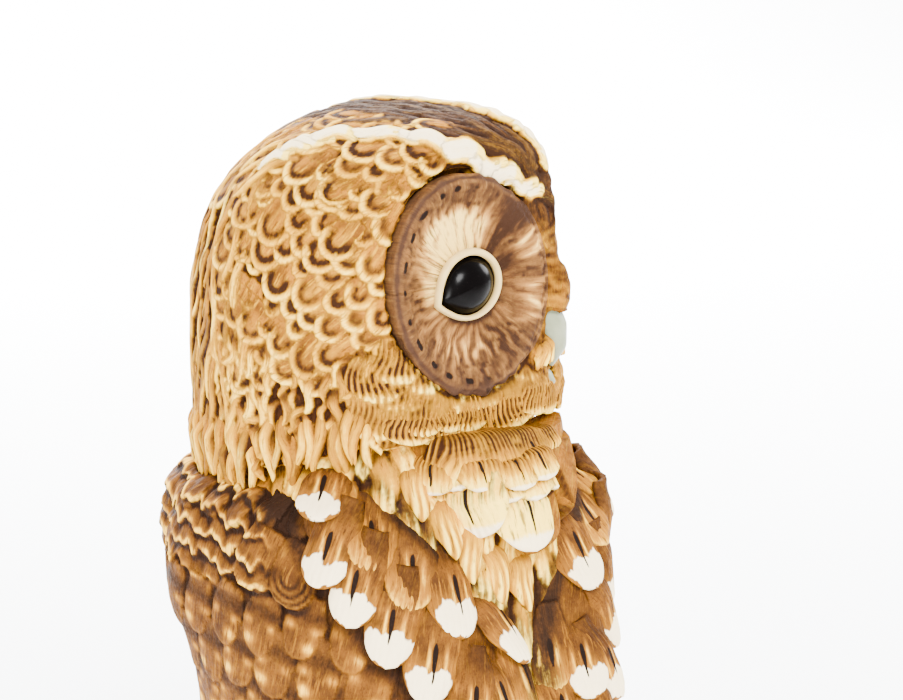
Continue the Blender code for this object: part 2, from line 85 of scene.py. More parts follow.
def finishes():
    """The figurine's own settings."""
    return bpy.context.scene.owl_finishes


def ramp(values, low, high):
    """0 below low, 1 above high, and smooth between."""
    t = np.clip((values - low) / (high - low), 0.0, 1.0)
    return t * t * (3 - 2 * t)


def ridge(values, centre, width):
    """1 at the centre, falling away smoothly over the width."""
    return np.exp(-(((values - centre) / width) ** 2))


def unit(vector):
    return vector / max(np.linalg.norm(vector), 1e-9)


def unit_rows(vectors):
    return vectors / np.maximum(np.linalg.norm(vectors, axis=1), 1e-9)[:, None]


def value_noise(points, size, seed=0):
    """Smooth random values from 0 to 1 over points, with features of about this size."""
    scaled = points / size + seed * 17.31
    base = np.floor(scaled).astype(np.int64)
    t = scaled - base
    t = t * t * (3 - 2 * t)
    total = np.zeros(len(points))
    for corner in np.ndindex(2, 2, 2):
        cell = base + corner
        mixed = cell[:, 0] * 374761393 + cell[:, 1] * 668265263 + cell[:, 2] * 2147483647
        mixed = ((mixed ^ (mixed >> 13)) * 1274126177) & 0xFFFFFF
        weight = np.prod(np.where(corner, t, 1 - t), axis=1)
        total += weight * mixed / 0xFFFFFF
    return total


def settled(node, points):
    """The points of a body casting, drawn in towards the body's axis at the left shoulder, and fitted together
    where the mantle's edge lies on the wing."""
    if node not in ("trunk", "back_mantle") and not node.endswith(("wing", "coverts")):
        return points
    flat = points[:, :2] - np.array(BODY_AXIS)[:2]
    turn, level = np.degrees(np.arctan2(-flat[:, 0], -flat[:, 1])), points[:, 2]
    drawn = 2.7 * ramp(-turn, 12, 40) * ramp(150 + turn, 0, 40) * ramp(level, 92, 122)
    if node.endswith("wing"):
        drawn -= 1.8 * ramp(np.abs(turn), 88, 108) * ramp(level, 108, 122) * ramp(154 - level, 0, 6)
        drawn += 2.6 * ramp(level, 141, 150)
    if node.endswith("coverts"):
        drawn += (4.5 if node.startswith("left") else 2.5) * ramp(level, 140, 150)
    if node == "back_mantle":
        drawn += 1.4 * ramp(np.abs(turn).min() + 14 - np.abs(turn), 0, 11) + 1.0 * ramp(level, 144, 152)
    moved = points.copy()
    moved[:, :2] -= flat / np.linalg.norm(flat, axis=1)[:, None] * drawn[:, None]
    return moved


# ---- carving ----


class Casting:
    """One closed casting to carve: its points, how they face, and what the tool and the brush leave on each."""

    MARKS = ("pale", "deep", "white", "black", "dusk")

    def __init__(self, node, grain, relax=6):
        self.node = node
        self.mesh = self.even_mesh(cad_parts[node], grain)
        count = len(self.mesh.vertices)
        self.edges = np.empty(len(self.mesh.edges) * 2, np.int32)
        self.mesh.edges.foreach_get("vertices", self.edges)
        self.edges = self.edges.reshape(-1, 2)
        flat = np.empty(count * 3, np.float32)
        self.mesh.vertices.foreach_get("co", flat)
        self.points = settled(node, self.blurred(flat.reshape(-1, 3).astype(float) / MM, relax))
        self.facing = self.surface_normals()
        self.height = np.zeros(count)
        self.marks = {name: np.zeros(count) for name in self.MARKS}
        self.barb = np.zeros((count, 3))
        self.barb[:, 0] = self.points[:, 0] - self.points[:, 1]
        self.barb[:, 1] = self.points[:, 2] * 0.12
        self.order = np.argsort(self.points[:, 2])
        self.levels = self.points[self.order, 2]
        self.stamped = 0
        self.mirror = -1 if node.startswith("left") else 1
        self.plumes = []

    @staticmethod
    def even_mesh(source, grain):
        """A copy of a casting's mesh, welded and remade in even faces of this size."""
        bm = bmesh.new()
        bm.from_mesh(source.data)
        bmesh.ops.remove_doubles(bm, verts=bm.verts, dist=0.002 * MM)
        welded = bpy.data.meshes.new(source.name)
        bm.to_mesh(welded)
        bm.free()
        helper = bpy.data.objects.new("clay_" + source.name, welded)
        bpy.context.scene.collection.objects.link(helper)
        remesh = helper.modifiers.new("Even clay", "REMESH")
        remesh.mode = "VOXEL"
        remesh.voxel_size = grain * MM
        graph = bpy.context.evaluated_depsgraph_get()
        even = bpy.data.meshes.new_from_object(helper.evaluated_get(graph))
        bpy.data.objects.remove(helper)
        return even

    def blurred(self, values, rounds):
        """Values averaged with their neighbours' along the mesh, this many times."""
        first, second = self.edges.T
        count = np.bincount(first, minlength=len(values)) + np.bincount(second, minlength=len(values))
        columns = values.reshape(len(values), -1).copy()
        for _ in range(rounds):
            for k in range(columns.shape[1]):
                column = columns[:, k]
                total = np.bincount(first, column[second], len(column))
                total += np.bincount(second, column[first], len(column))
                columns[:, k] = 0.4 * column + 0.6 * total / np.maximum(count, 1)
        return columns.reshape(values.shape)

    def surface_normals(self):
        self.mesh.vertices.foreach_set("co", (self.points * MM).astype(np.float32).ravel())
        self.mesh.update()
        flat = np.empty(len(self.points) * 3, np.float32)
        self.mesh.vertex_normals.foreach_get("vector", flat)
        return flat.reshape(-1, 3).astype(float)

    @cached_property
    def finder(self):
        """The casting's surface, for rays and nearest points."""
        polygons = [tuple(p.vertices) for p in self.mesh.polygons]
        return BVHTree.FromPolygons([Vector(p) for p in self.points], polygons)

    def hit(self, start, towards):
        """Where a line from here first meets the surface, and the way the surface faces there."""
        place, facing, _, _ = self.finder.ray_cast(Vector(start), Vector(towards))
        return None if place is None else (np.array(place), np.array(facing))

    def spot(self, centre, turn_deg, height):
        """The outermost point at this angle and height round a vertical axis, and the way the surface faces."""
        turn = math.radians(turn_deg)
        out = Vector((-math.sin(turn), -math.cos(turn), 0))
        start = Vector((centre[0], centre[1], height)) + out * 90
        found = self.hit(start, -out)
        return None if found is None or (Vector(found[0]) - start).length > 89 else found

    def nearest(self, target):
        """The nearest point of the surface, and the way the surface faces there."""
        place, facing, _, _ = self.finder.find_nearest(Vector(target))
        return np.array(place), np.array(facing)

    def near(self, place, reach):
        """The indices of the points within a box of this reach round a place."""
        low, high = np.searchsorted(self.levels, (place[2] - reach, place[2] + reach))
        index = self.order[low:high]
        offset = np.abs(self.points[index, :2] - place[:2])
        return index[(offset < reach).all(axis=1)]

    def scatter(self, zone, spacing, seed):
        """Random points of a zone (a mask over the points), no two closer than spacing."""
        rng = np.random.default_rng(seed)
        candidates = np.flatnonzero(zone)
        rng.shuffle(candidates)
        tries = int(min(len(candidates), 40 * zone.sum() * 0.2 / spacing**2 + 400))
        chosen = np.empty((0, 3))
        picked = []
        for index in candidates[:tries]:
            gap = self.points[index] - chosen
            if not len(chosen) or (np.einsum("ij,ij->i", gap, gap) > spacing**2).all():
                chosen = np.vstack((chosen, self.points[index]))
                picked.append(index)
        return picked

    def begin(self, facing, ahead, kind, scale, width):
        """The next feather's luck, its outward, forward and sideways directions, its half width and its length."""
        self.stamped += 1
        luck = np.random.default_rng(self.stamped + 1000 * len(self.node)).random(6)
        out = unit(np.asarray(facing, float))
        ahead = np.asarray(ahead, float)
        ahead = unit(ahead - out * (ahead @ out))
        return luck, out, ahead, np.cross(out, ahead), kind.width * scale * width / 2, kind.length * scale

    def cover(self, zones, lie, stray, smallest, largest):
        """Covers each zone in feathers of its kind, which lie as lie says, each a little astray."""
        for zone, kind, spacing, seed in zones:
            rng = np.random.default_rng(seed)
            for index in self.scatter(zone, spacing, seed):
                ahead = lie(index, kind) + rng.normal(0, stray, 3)
                self.feather(self.points[index], self.facing[index], ahead, kind, rng.uniform(smallest, largest))

    def feather(self, place, facing, ahead, kind, scale=1.0, width=1.0, rise=0.0):
        """Carves and paints one feather whose middle is at place and whose tip points ahead.
        It shows wherever it stands above what is carved there already, as a roof tile does."""
        luck, out, ahead, aside, half, length = self.begin(facing, ahead, kind, scale, width)
        index = self.near(place, max(half, length / 2) + 1.0)
        offset = self.points[index] - place
        turned = self.facing[index] @ out > 0.25
        deep = np.abs(offset @ out) < 0.35 * length + half + 2
        index, offset = index[turned & deep], offset[turned & deep]
        along = offset @ ahead + length / 2
        v = along / length
        across = offset @ aside + kind.wave * half * np.sin(v * 6.3 + luck[0] * 6.3)
        across += kind.bend * half * (luck[1] - 0.5) * 4 * (v - 0.5) ** 2
        u = across / half
        tip = np.clip((v - kind.shoulder) / (1 - kind.shoulder), 0, None)
        root = np.clip((0.35 - v) / 0.35, 0, None)
        reach = np.abs(u) * (1 + kind.taper * root)
        radial = (reach**kind.point + tip**kind.point) ** (1 / kind.point)
        edge = (1 - radial) * half
        inside = (edge > 0) & (v > 0)
        index, u, v, edge = index[inside], u[inside], v[inside], edge[inside]
        across, along = across[inside], along[inside]
        carved = kind.lift * ramp(v, 0, 1.0) + kind.thick * np.clip(edge / kind.soft, 0, 1) ** 0.6
        carved += kind.camber * (1 - u**2) + kind.rim * ridge(edge, 0.55, 0.35) * ramp(v, 0.3, 0.7)
        carved -= kind.dish * ridge(edge, 1.7, 0.8) * ramp(v, 0.2, 0.6)
        if kind.comb:
            fanned = across * (1 + kind.fan * (0.6 - v))
            carved += kind.comb * np.sin(fanned * WAVE / kind.comb_pitch + luck[2] * 6) * ramp(edge, 0, 0.8)
        carved = carved * min(scale, 1.2) + rise + 0.06 * luck[3]
        wins = carved > self.height[index]
        index = index[wins]
        self.height[index] = carved[wins]
        u, v, edge, across, along = u[wins], v[wins], edge[wins], across[wins], along[wins]
        painted = kind.paint(self.shown(u, v, edge, across, along, luck))
        for name in self.MARKS:
            self.marks[name][index] = painted.get(name, 0.0)
        self.barb[index, 0] = across * (1 + kind.fan * (0.6 - v))
        self.barb[index, 1] = along * 0.12
        self.barb[index, 2] = luck[4] * 40

    def shown(self, u, v, edge, across, along, luck):
        """What the brush goes by on a feather: shares of its half width and length, and mm to its edge, across and
        along it. The left side mirrors the right."""
        mirror = self.mirror
        return SimpleNamespace(u=u * mirror, v=v, edge=edge, across=across * mirror, along=along, luck=luck)

    def plume(self, place, facing, ahead, kind, scale=1.0, width=1.0, rise=0.0, bow=40.0):
        """Lays one whole feather over the casting, free at its tip, bowed round the body by this radius."""
        luck, out, ahead, aside, half, length = self.begin(facing, ahead, kind, scale, width)
        under = self.near(place, 1.5)
        rise += 0.9 * self.height[under].mean() if len(under) else 0.0
        columns, rows = max(int(half * 2 / 0.38), 8), max(int(length / 0.42), 14)
        u, v = np.meshgrid(np.linspace(-1, 1, columns), np.linspace(0, 1, rows) ** 0.85)
        u, v = u.ravel(), v.ravel()
        tip = np.clip((v - kind.shoulder) / (1 - kind.shoulder), 0, 1)
        narrow = (1 - tip**kind.point) ** (1 / kind.point) * (PLUME_ROOT + (1 - PLUME_ROOT) * ramp(v, -0.05, 0.4))
        share = u * np.maximum(narrow, 0.02)
        radial = (np.abs(share) ** kind.point + tip**kind.point) ** (1 / kind.point)
        edge = np.clip(1 - radial, 0, 1) * half
        across, along = share * half, v * length
        height = kind.lift * 0.7 * v + kind.thick * (np.clip(edge / kind.soft, 0, 1) ** 0.6 - 1)
        height += kind.camber * (1 - u**2) + kind.rim * ridge(edge, 0.55, 0.35)
        if kind.comb:
            fanned = across * (1 + kind.fan * (0.6 - v))
            height += kind.comb * np.sin(fanned * WAVE / kind.comb_pitch + luck[2] * 6) * ramp(edge, 0, 0.8)
        height += rise - across**2 / (2 * bow)
        height -= (1.8 + rise) * ramp(0.45 - v, 0, 0.45) + 1.5 * u**4 * ramp(0.85 - v, 0, 0.3)
        curl = kind.wave * half * np.sin(v * 6.3 + luck[0] * 6.3)
        flat = np.outer(across + curl, aside) + np.outer(along - length / 2, ahead)
        top = np.asarray(place) + flat + np.outer(height, out)
        below = top - np.outer(0.3 + 0.9 * np.clip(edge / 1.6, 0, 1), out)
        count = rows * columns
        grid = np.arange(count).reshape(rows, columns)
        faces = np.stack((grid[:-1, :-1], grid[:-1, 1:], grid[1:, 1:], grid[1:, :-1]), axis=-1).reshape(-1, 4)
        rim = np.concatenate((grid[0, :-1], grid[:-1, -1], grid[-1, :0:-1], grid[:0:-1, 0]))
        following = np.roll(rim, -1)
        wall = np.stack((rim, rim + count, following + count, following), axis=-1)
        normal = np.cross(top[faces[0, 1]] - top[faces[0, 0]], top[faces[0, 3]] - top[faces[0, 0]])
        faces = np.concatenate((faces, faces[:, ::-1] + count, wall))
        if normal @ out < 0:
            faces = faces[:, ::-1]
        painted = kind.paint(self.shown(share, v, edge, across, along, luck))
        marks = {name: np.tile(np.broadcast_to(painted.get(name, 0.0), count), 2) for name in self.MARKS}
        barb = np.column_stack((across, along * 0.12, np.full(count, luck[4] * 40)))
        self.plumes.append((np.concatenate((top, below)), faces, marks, np.tile(barb, (2, 1))))

    def finish(self, material, slot, soften=1, hollows=1.0, sink=0.0):
        """Writes the carving into the mesh, settles washes in the hollows, and hands the piece over."""
        height = self.blurred(self.height, soften)
        relief = (height - self.blurred(height, 14)) * hollows
        self.marks["deep"] = self.marks["deep"] + 2.4 * np.clip(-relief - 0.03, 0, 0.6)
        self.marks["pale"] = self.marks["pale"] + 1.0 * np.clip(relief - 0.06, 0, 0.5)
        points = [self.points + self.facing * (height * finishes().relief - sink)[:, None]]
        faces = np.empty(len(self.mesh.polygons) * 4, np.int32)
        self.mesh.polygons.foreach_get("vertices", faces)
        faces = [faces.reshape(-1, 4)]
        marks = {name: [np.clip(self.blurred(values, 1), 0, 1)] for name, values in self.marks.items()}
        barb = [self.barb]
        start = len(points[0])
        for plume_points, plume_faces, plume_marks, plume_barb in self.plumes:
            points.append(plume_points)
            faces.append(plume_faces + start)
            barb.append(plume_barb)
            for name in self.MARKS:
                marks[name].append(np.clip(plume_marks[name], 0, 1))
            start += len(plume_points)
        mesh = bpy.data.meshes.new("carved_" + self.node)
        mesh.from_pydata(np.concatenate(points) * MM, [], np.concatenate(faces))
        mesh.shade_smooth()
        for name, values in marks.items():
            layer = mesh.attributes.new(name, "FLOAT", "POINT")
            layer.data.foreach_set("value", np.concatenate(values).astype(np.float32))
        layer = mesh.attributes.new("barb", "FLOAT_VECTOR", "POINT")
        layer.data.foreach_set("vector", np.concatenate(barb).astype(np.float32).ravel())
        mesh.materials.append(material)
        piece = bpy.data.objects.new("carved_" + self.node, mesh)
        bpy.context.scene.collection.objects.link(piece)
        bpy.data.meshes.remove(self.mesh)
        return hand_over(piece, slot, self.node)


def hand_over(piece, slot, *nodes):
    """Makes a piece ride on the figurine, in place of the castings that it stands for."""
    piece.data.name = piece.name
    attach(piece, "root")
    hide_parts(*nodes)
    return piece


class Kind:
    """A kind of feather: its size, the shape that the tool gives it, and how it is painted."""

    def __init__(self, paint, width, length, **shape):
        self.paint, self.width, self.length = paint, width, length
        self.lift, self.thick, self.soft, self.camber = 0.45, 0.35, 0.5, 0.12
        self.rim, self.dish, self.comb, self.comb_pitch = 0.0, 0.0, 0.0, 1.0
        self.wave, self.bend, self.fan = 0.0, 0.3, 0.0
        self.shoulder, self.point, self.taper = 0.55, 2.0, 0.4
        for key, value in shape.items():
            setattr(self, key, value)


# ---- how each kind of feather is painted ----


def paint_scallop(f):
    """A gold crescent round the tip with a ragged inner edge, brown inside it, and a tan root."""
    teeth = 0.28 * np.sin(f.across * 8.5 + 9 * f.luck[4])
    rim = ridge(f.edge + 0.6 * teeth, 0.65, 0.8) * ramp(f.v, 0.35, 0.65)
    patch = ridge(f.edge + teeth, 2.1, 0.6) * ramp(f.v, 0.3, 0.55) * ramp(1 - f.u ** 2, 0.0, 0.4)
    return {
        "pale": (0.45 + 0.35 * f.luck[3]) * rim + 0.3 * ridge(f.edge, 3.4, 0.6) * f.luck[4],
        "deep": patch * (0.65 + 0.6 * f.luck[5]) + 0.1,
        "dusk": 0.5 * patch,
    }


def paint_strand(f):
    crest = ramp(1 - np.abs(f.u), 0.15, 0.8)
    return {
        "pale": crest * (0.15 + 0.6 * f.luck[5]) * (0.35 + 0.65 * ramp(f.v, 0.1, 0.5)),
        "deep": 0.85 * ramp(np.abs(f.u), 0.4, 0.9) + 0.5 * (f.luck[4] > 0.75),
        "dusk": 0.3,
    }


def paint_crown(f):
    edge = ramp(np.abs(f.u), 0.5, 0.9)
    return {"deep": 0.8 + 0.4 * edge, "dusk": 0.8, "pale": 0.3 * (1 - edge) * (f.luck[4] > 0.6)}


def paint_brow(f):
    """White at the tip, golden at the root, with a brown fleck here and there."""
    flecks = ridge(f.v, 0.3, 0.12) * ridge(f.u, 1.6 * f.luck[4] - 0.8, 0.4)
    crest = ramp(1 - np.abs(f.u), 0.05, 0.6)
    return {"white": 0.62 * ramp(f.v, 0.1, 0.3) * crest, "pale": 0.4 + 0.6 * crest, "deep": 1.2 * flecks}


def paint_curl(f):
    teeth = 0.2 * np.sin(f.along * 9 + 9 * f.luck[4])
    return {
        "pale": (0.25 + 0.5 * f.luck[5]) * ramp(1 - np.abs(f.u) + teeth, 0.2, 0.7) * ramp(f.v, 0.15, 0.5),
        "deep": 0.9 * ramp(np.abs(f.u), 0.5, 0.95) + 0.7 * ridge(f.v, 0.1, 0.2),
    }


def combed(f, pitch):
    """Fine grooves that fan out along a feather: 1 on a crest and 0 in a groove."""
    return 0.5 + 0.5 * np.sin(f.across * (1 + 0.5 * (0.6 - f.v)) * WAVE / pitch + 6 * f.luck[2])


def paint_chin(f):
    comb = combed(f, 1.15)
    lip = ramp(f.v, 0.72, 0.95)
    dark = (1 - comb) ** 1.5 * (1 - lip) * (0.6 + 0.7 * f.luck[5])
    return {"pale": 0.1 + 0.75 * lip + 0.2 * comb, "deep": dark * ramp(f.v, 0.1, 0.4) + 0.2 * (1 - lip)}


def paint_fan(f):
    """Cream fans, combed with brown at the root, with a white lip and now and then a black shaft stroke."""
    comb = combed(f, 1.1)
    lean = (f.luck[4] - 0.5) * 2.5
    shaft = ridge(f.across, lean + 1.2 * (f.v - 0.5), 0.34 * (1.4 - f.v)) * ramp(f.v, 0.3, 0.4)
    shaft = shaft * (f.luck[5] > 0.45) * ramp(0.88 - f.v, 0, 0.12)
    root = 1 - ramp(f.v, 0.3, 0.7 + 0.15 * (comb - 0.5))
    return {
        "pale": 0.1 + 0.65 * ramp(f.v, 0.45, 0.9) + 0.2 * comb,
        "white": 0.75 * ramp(f.v, 0.8, 0.98),
        "deep": root * (1.1 - comb) * (0.7 + 0.5 * f.luck[3]) + 0.7 * ridge(f.edge, 0.0, 0.25),
        "black": shaft,
    }


def paint_grand_fan(f):
    """A large nearly white fan with brown rays at its root and one black shaft stroke that tapers to a point."""
    rays = ramp(combed(f, 2.2), 0.3, 0.8) * (1 - ramp(f.v, 0.35, 0.85))
    shaft = ridge(f.across, 0.6 * (f.v - 0.5), 0.62 * (1.05 - f.v)) * ramp(f.v, 0.12, 0.2)
    shaft *= ramp(0.8 - f.v, 0, 0.1)
    return {
        "pale": 0.6 + 0.4 * ramp(f.v, 0.2, 0.6),
        "white": 0.95 * ramp(f.v, 0.62, 0.95),
        "deep": 1.1 * rays + 0.6 * ridge(f.edge, 0.0, 0.4),
        "black": shaft,
    }


def paint_lance(f):
    """Golden pointed feathers with cream streaks, and now and then a black stroke."""
    streak = combed(f, 1.5) * ramp(1 - np.abs(f.u), 0.1, 0.6)
    shaft = ridge(f.across, 0.2, 0.3) * (f.luck[5] > 0.75) * ramp(0.8 - f.v, 0, 0.3) * ramp(f.v, 0.2, 0.3)
    return {
        "pale": 0.25 + 0.75 * streak * ramp(f.v, 0.3, 0.8),
        "deep": 0.75 * (1 - ramp(f.v, 0.1, 0.5)) + 0.7 * ramp(np.abs(f.u), 0.6, 0.95),
        "black": shaft,
    }


def paint_belly(f):
    """Cream belly feathers with a dark shaft streak and faint cross bars."""
    streak = ridge(f.across, 0, 0.55 + 0.3 * f.luck[4]) * ramp(0.9 - f.v, 0, 0.3)
    bars = ridge(f.v + 0.05 * np.abs(f.u), 0.62, 0.06)
    return {"pale": 0.85 * ramp(f.v, 0.2, 0.6), "deep": np.clip(0.95 * streak + 0.5 * bars, 0, 1)}


def paint_covert(f):
    """Tan feathers, brown at the root, with a ragged white patch at the tip and a tapered black shaft stroke."""
    lean = 0.9 * (f.luck[4] - 0.5) + 1.0 * (f.v - 0.6)
    taper = 0.12 + 0.42 * ramp(0.8 - f.v, 0, 0.3) * ramp(f.v, 0.3, 0.5)
    shaft = ridge(f.across, lean, taper) * ramp(f.v, 0.36, 0.44) * ramp(0.84 - f.v, 0, 0.1)
    fray = np.sin(f.across * 1.3 + 7 * f.luck[4]) + 0.4 * np.sin(f.across * 4.1 + 5 * f.luck[5])
    fray = 0.035 * (fray + 0.2 * np.sin(f.across * 9.3))
    patch = ramp(f.v + fray - 0.05 * f.luck[3] - 0.09 * f.u**2, 0.55, 0.68) * ramp(f.edge + 8 * fray, -0.1, 0.4)
    notch = ridge(f.across, lean + 0.4, 1.1) * ramp(0.62 + 0.2 * f.luck[5] - f.v, 0, 0.08)
    line = ridge(f.across, lean - 1.1, 0.35) + 0.7 * ridge(f.across, lean + 2.2, 0.4)
    line = line * ramp(f.v, 0.3, 0.5) * ramp(0.8 - f.v, 0, 0.2)
    shade = ridge(f.v, 0.56, 0.12) * ridge(f.u, 1.4 * f.luck[5] - 0.7, 0.35)
    return {
        "black": shaft,
        "white": 1.1 * np.clip(patch - 0.8 * notch, 0, 1),
        "pale": np.clip(0.8 * line + 0.3 * ramp(f.v, 0.4, 0.7), 0, 1),
        "deep": np.clip(0.55 * (1 - ramp(f.v, 0.15, 0.5)) + 0.5 * shade, 0, 1),
        "dusk": 0.3 * (1 - ramp(f.v, 0.2, 0.5)),
    }


def paint_plain_covert(f):
    painted = paint_covert(f)
    painted["white"] = 0.0
    painted["deep"] = 0.35 * painted["deep"]
    painted["dusk"] = 0.0
    painted["pale"] = np.clip(painted["pale"] + 0.25 * ramp(f.v, 0.6, 0.95), 0, 1)
    return painted


def paint_soft(f):
    """Plain brown feathers, darker at the root, as where the wing goes in under the head."""
    return {
        "deep": np.clip(0.95 - 0.8 * ramp(f.v, 0.2, 0.8), 0, 1),
        "dusk": 0.6,
        "pale": 0.35 * ramp(f.v, 0.6, 0.95) * f.luck[5],
    }


def paint_barred(f):
    """Wing feathers edged and barred in cream, over brown, with ragged edges to the bars."""
    ragged = 0.5 * np.sin(f.across * 2.3 + 9 * f.luck[4]) + 0.35 * np.sin(f.across * 6.1 + 5 * f.luck[5])
    tip_bar = ridge(f.edge + 0.7 * ragged, 1.0, 0.9) * ramp(f.v, 0.62, 0.8)
    low_bar = ridge(f.v + 0.035 * ragged - 0.1 * f.u ** 2, 0.56, 0.07)
    cream = np.clip(tip_bar + 0.9 * low_bar, 0, 1)
    return {
        "pale": 1.0 * cream,
        "white": 0.2 * cream,
        "deep": np.clip(0.75 - cream + 0.25 * ridge(f.edge, 2.3, 0.6), 0, 1),
        "dusk": 0.4,
    }


def paint_crescent(f):
    """Tan feathers with three dark arcs inside the tip."""
    arcs = ridge(f.edge, 0.9, 0.25) + ridge(f.edge, 2.2, 0.28) + 0.8 * ridge(f.edge, 3.7, 0.35)
    arcs = arcs * ramp(f.v, 0.4, 0.6)
    return {"pale": 0.25 * (1 - arcs) * ramp(f.v, 0.5, 0.8), "deep": np.clip(0.25 + arcs, 0, 1), "dusk": 0.3}


def paint_spotted(f):
    """Brown wing feathers with a pale spot low on each side of the shaft and a tan fringe."""
    spot = ridge(f.u, 0.45 if f.luck[4] > 0.5 else -0.45, 0.33) * ridge(f.v, 0.76, 0.1)
    spot = spot + 0.7 * ridge(np.abs(f.u), 0.6, 0.25) * ridge(f.v, 0.5, 0.07)
    return {
        "pale": np.clip(0.9 * spot + 0.3 * ridge(f.edge, 0.3, 0.4), 0, 1),
        "deep": np.clip(0.25 - 0.4 * spot + 0.45 * ridge(f.v, 0.3, 0.15), 0, 1),
        "dusk": 0.3,
    }


def paint_quill(f):
    """Long flight and tail feathers with broad bars and a dark tip."""
    bars = 0.5 + 0.5 * np.sin((f.along + 0.8 * np.abs(f.u) + 0.8 * f.luck[4]) * WAVE / 8.0)
    shaft = ridge(f.across, 0, 0.35)
    return {
        "pale": np.clip(0.85 * ramp(bars, 0.62, 0.85) * (1 - shaft) + 0.2 * shaft, 0, 1),
        "deep": np.clip(0.35 + 0.5 * ramp(1 - bars, 0.3, 0.7), 0, 1),
        "dusk": 0.5,
    }


def paint_mantle(f):
    return {
        "pale": 0.8 * ridge(f.edge, 0.5, 0.6) * ramp(f.v, 0.3, 0.6),
        "deep": np.clip(0.35 + 0.6 * ridge(f.edge, 2.2, 1.1) * ramp(f.v, 0.3, 0.6), 0, 1),
        "black": 0.7 * ridge(f.across, 0, 0.35) * ramp(f.v, 0.35, 0.5) * ramp(0.85 - f.v, 0, 0.2),
        "dusk": 0.5,
    }


SCALLOP = Kind(
    paint_scallop, 6.8, 8.2, lift=0.5, thick=0.35, soft=0.9, rim=0.08, dish=0.25, comb=0.05, comb_pitch=1.1, point=1.8
)
STRAND = Kind(
    paint_strand, 3.0, 14.0, lift=0.5, thick=0.5, soft=1.2, camber=0.25, wave=0.4, bend=0.8, shoulder=0.3, point=1.5
)
CROWN = Kind(paint_crown, 3.6, 12.0, lift=0.3, thick=0.4, soft=1.3, camber=0.2, wave=0.4, shoulder=0.35, point=1.6)
BROW = Kind(
    paint_brow, 5.4, 10.5, lift=0.5, thick=0.6, soft=1.4, camber=0.5, comb=0.05, comb_pitch=1.2, wave=0.3, shoulder=0.4
)
CURL = Kind(
    paint_curl, 2.7, 7.0, lift=0.45, thick=0.45, soft=1.0, camber=0.2, wave=0.5, bend=0.9, shoulder=0.35, point=1.5
)
CHIN = Kind(paint_chin, 11.0, 9.0, lift=0.8, thick=0.5, comb=0.2, comb_pitch=1.15, fan=0.5, wave=0.1)
FAN = Kind(paint_fan, 12.0, 12.0, lift=1.5, thick=0.7, soft=0.6, camber=0.3, comb=0.18, comb_pitch=1.1, fan=0.5)
GRAND_FAN = Kind(
    paint_grand_fan, 14.0, 14.0, lift=0.9, thick=0.6, soft=0.8, camber=0.5, comb=0.08, comb_pitch=1.3, fan=0.6,
    shoulder=0.45,
)
LANCE = Kind(
    paint_lance, 6.4, 15.0, lift=0.8, thick=0.6, soft=1.2, camber=0.4, wave=0.15, comb=0.12, comb_pitch=1.5,
    shoulder=0.3, point=1.5,
)
BELLY = Kind(paint_belly, 8.0, 13.0, lift=0.6, thick=0.45, soft=0.7, camber=0.2, comb=0.06, shoulder=0.4, point=1.7)
COVERT = Kind(
    paint_covert, 12.0, 20.0, lift=0.9, thick=0.55, soft=1.3, camber=0.5, comb=0.1, comb_pitch=1.3, shoulder=0.6
)
PLAIN = Kind(paint_plain_covert, 12.0, 19.0, lift=0.7, thick=0.4, soft=1.3, camber=0.3, comb=0.05, comb_pitch=1.3)
SOFT = Kind(paint_soft, 10.0, 15.0, lift=0.4, thick=0.3, soft=1.5, camber=0.2, comb=0.04)
BARRED = Kind(paint_barred, 13.0, 14.0, lift=0.55, thick=0.4, soft=0.9, camber=0.15, comb=0.03, bend=0.6)
CRESCENT = Kind(paint_crescent, 13.0, 15.0, lift=0.6, thick=0.5, soft=0.7, camber=0.3)
SPOTTED = Kind(paint_spotted, 9.5, 14.0, lift=0.5, thick=0.4, soft=1.0, camber=0.25, comb=0.04, comb_pitch=1.3)
QUILL = Kind(
    paint_quill, 10.0, 44.0, lift=1.0, thick=0.5, soft=0.9, camber=0.35, shoulder=0.82, bend=0.1, comb=0.04, taper=0.2
)
MANTLE = Kind(paint_mantle, 10.5, 13.5, lift=0.7, thick=0.45, soft=0.8, camber=0.25, comb=0.04, comb_pitch=1.3)


# ---- materials ----


def add(tree, kind, give, inputs=None, **settings):
    """Adds a node with its settings, sets or joins its inputs, and gives back the named output."""
    node = tree.nodes.new(kind)
    for key, value in settings.items():
        setattr(node, key, value)
    for key, source in (inputs or {}).items():
        in_use = (s for s in node.inputs if s.enabled and s.name == key)
        socket = node.inputs[key] if isinstance(key, int) else next(in_use)
        if isinstance(source, bpy.types.NodeSocket):
            tree.links.new(source, socket)
        else:
            socket.default_value = source
    return next(s for s in node.outputs if s.enabled and s.name == give)


def new_material(name):
    """A material with only a Principled shader and its output, and that shader."""
    made = bpy.data.materials.new(name)
    made.use_nodes = True
    return made, made.node_tree, made.node_tree.nodes["Principled BSDF"]


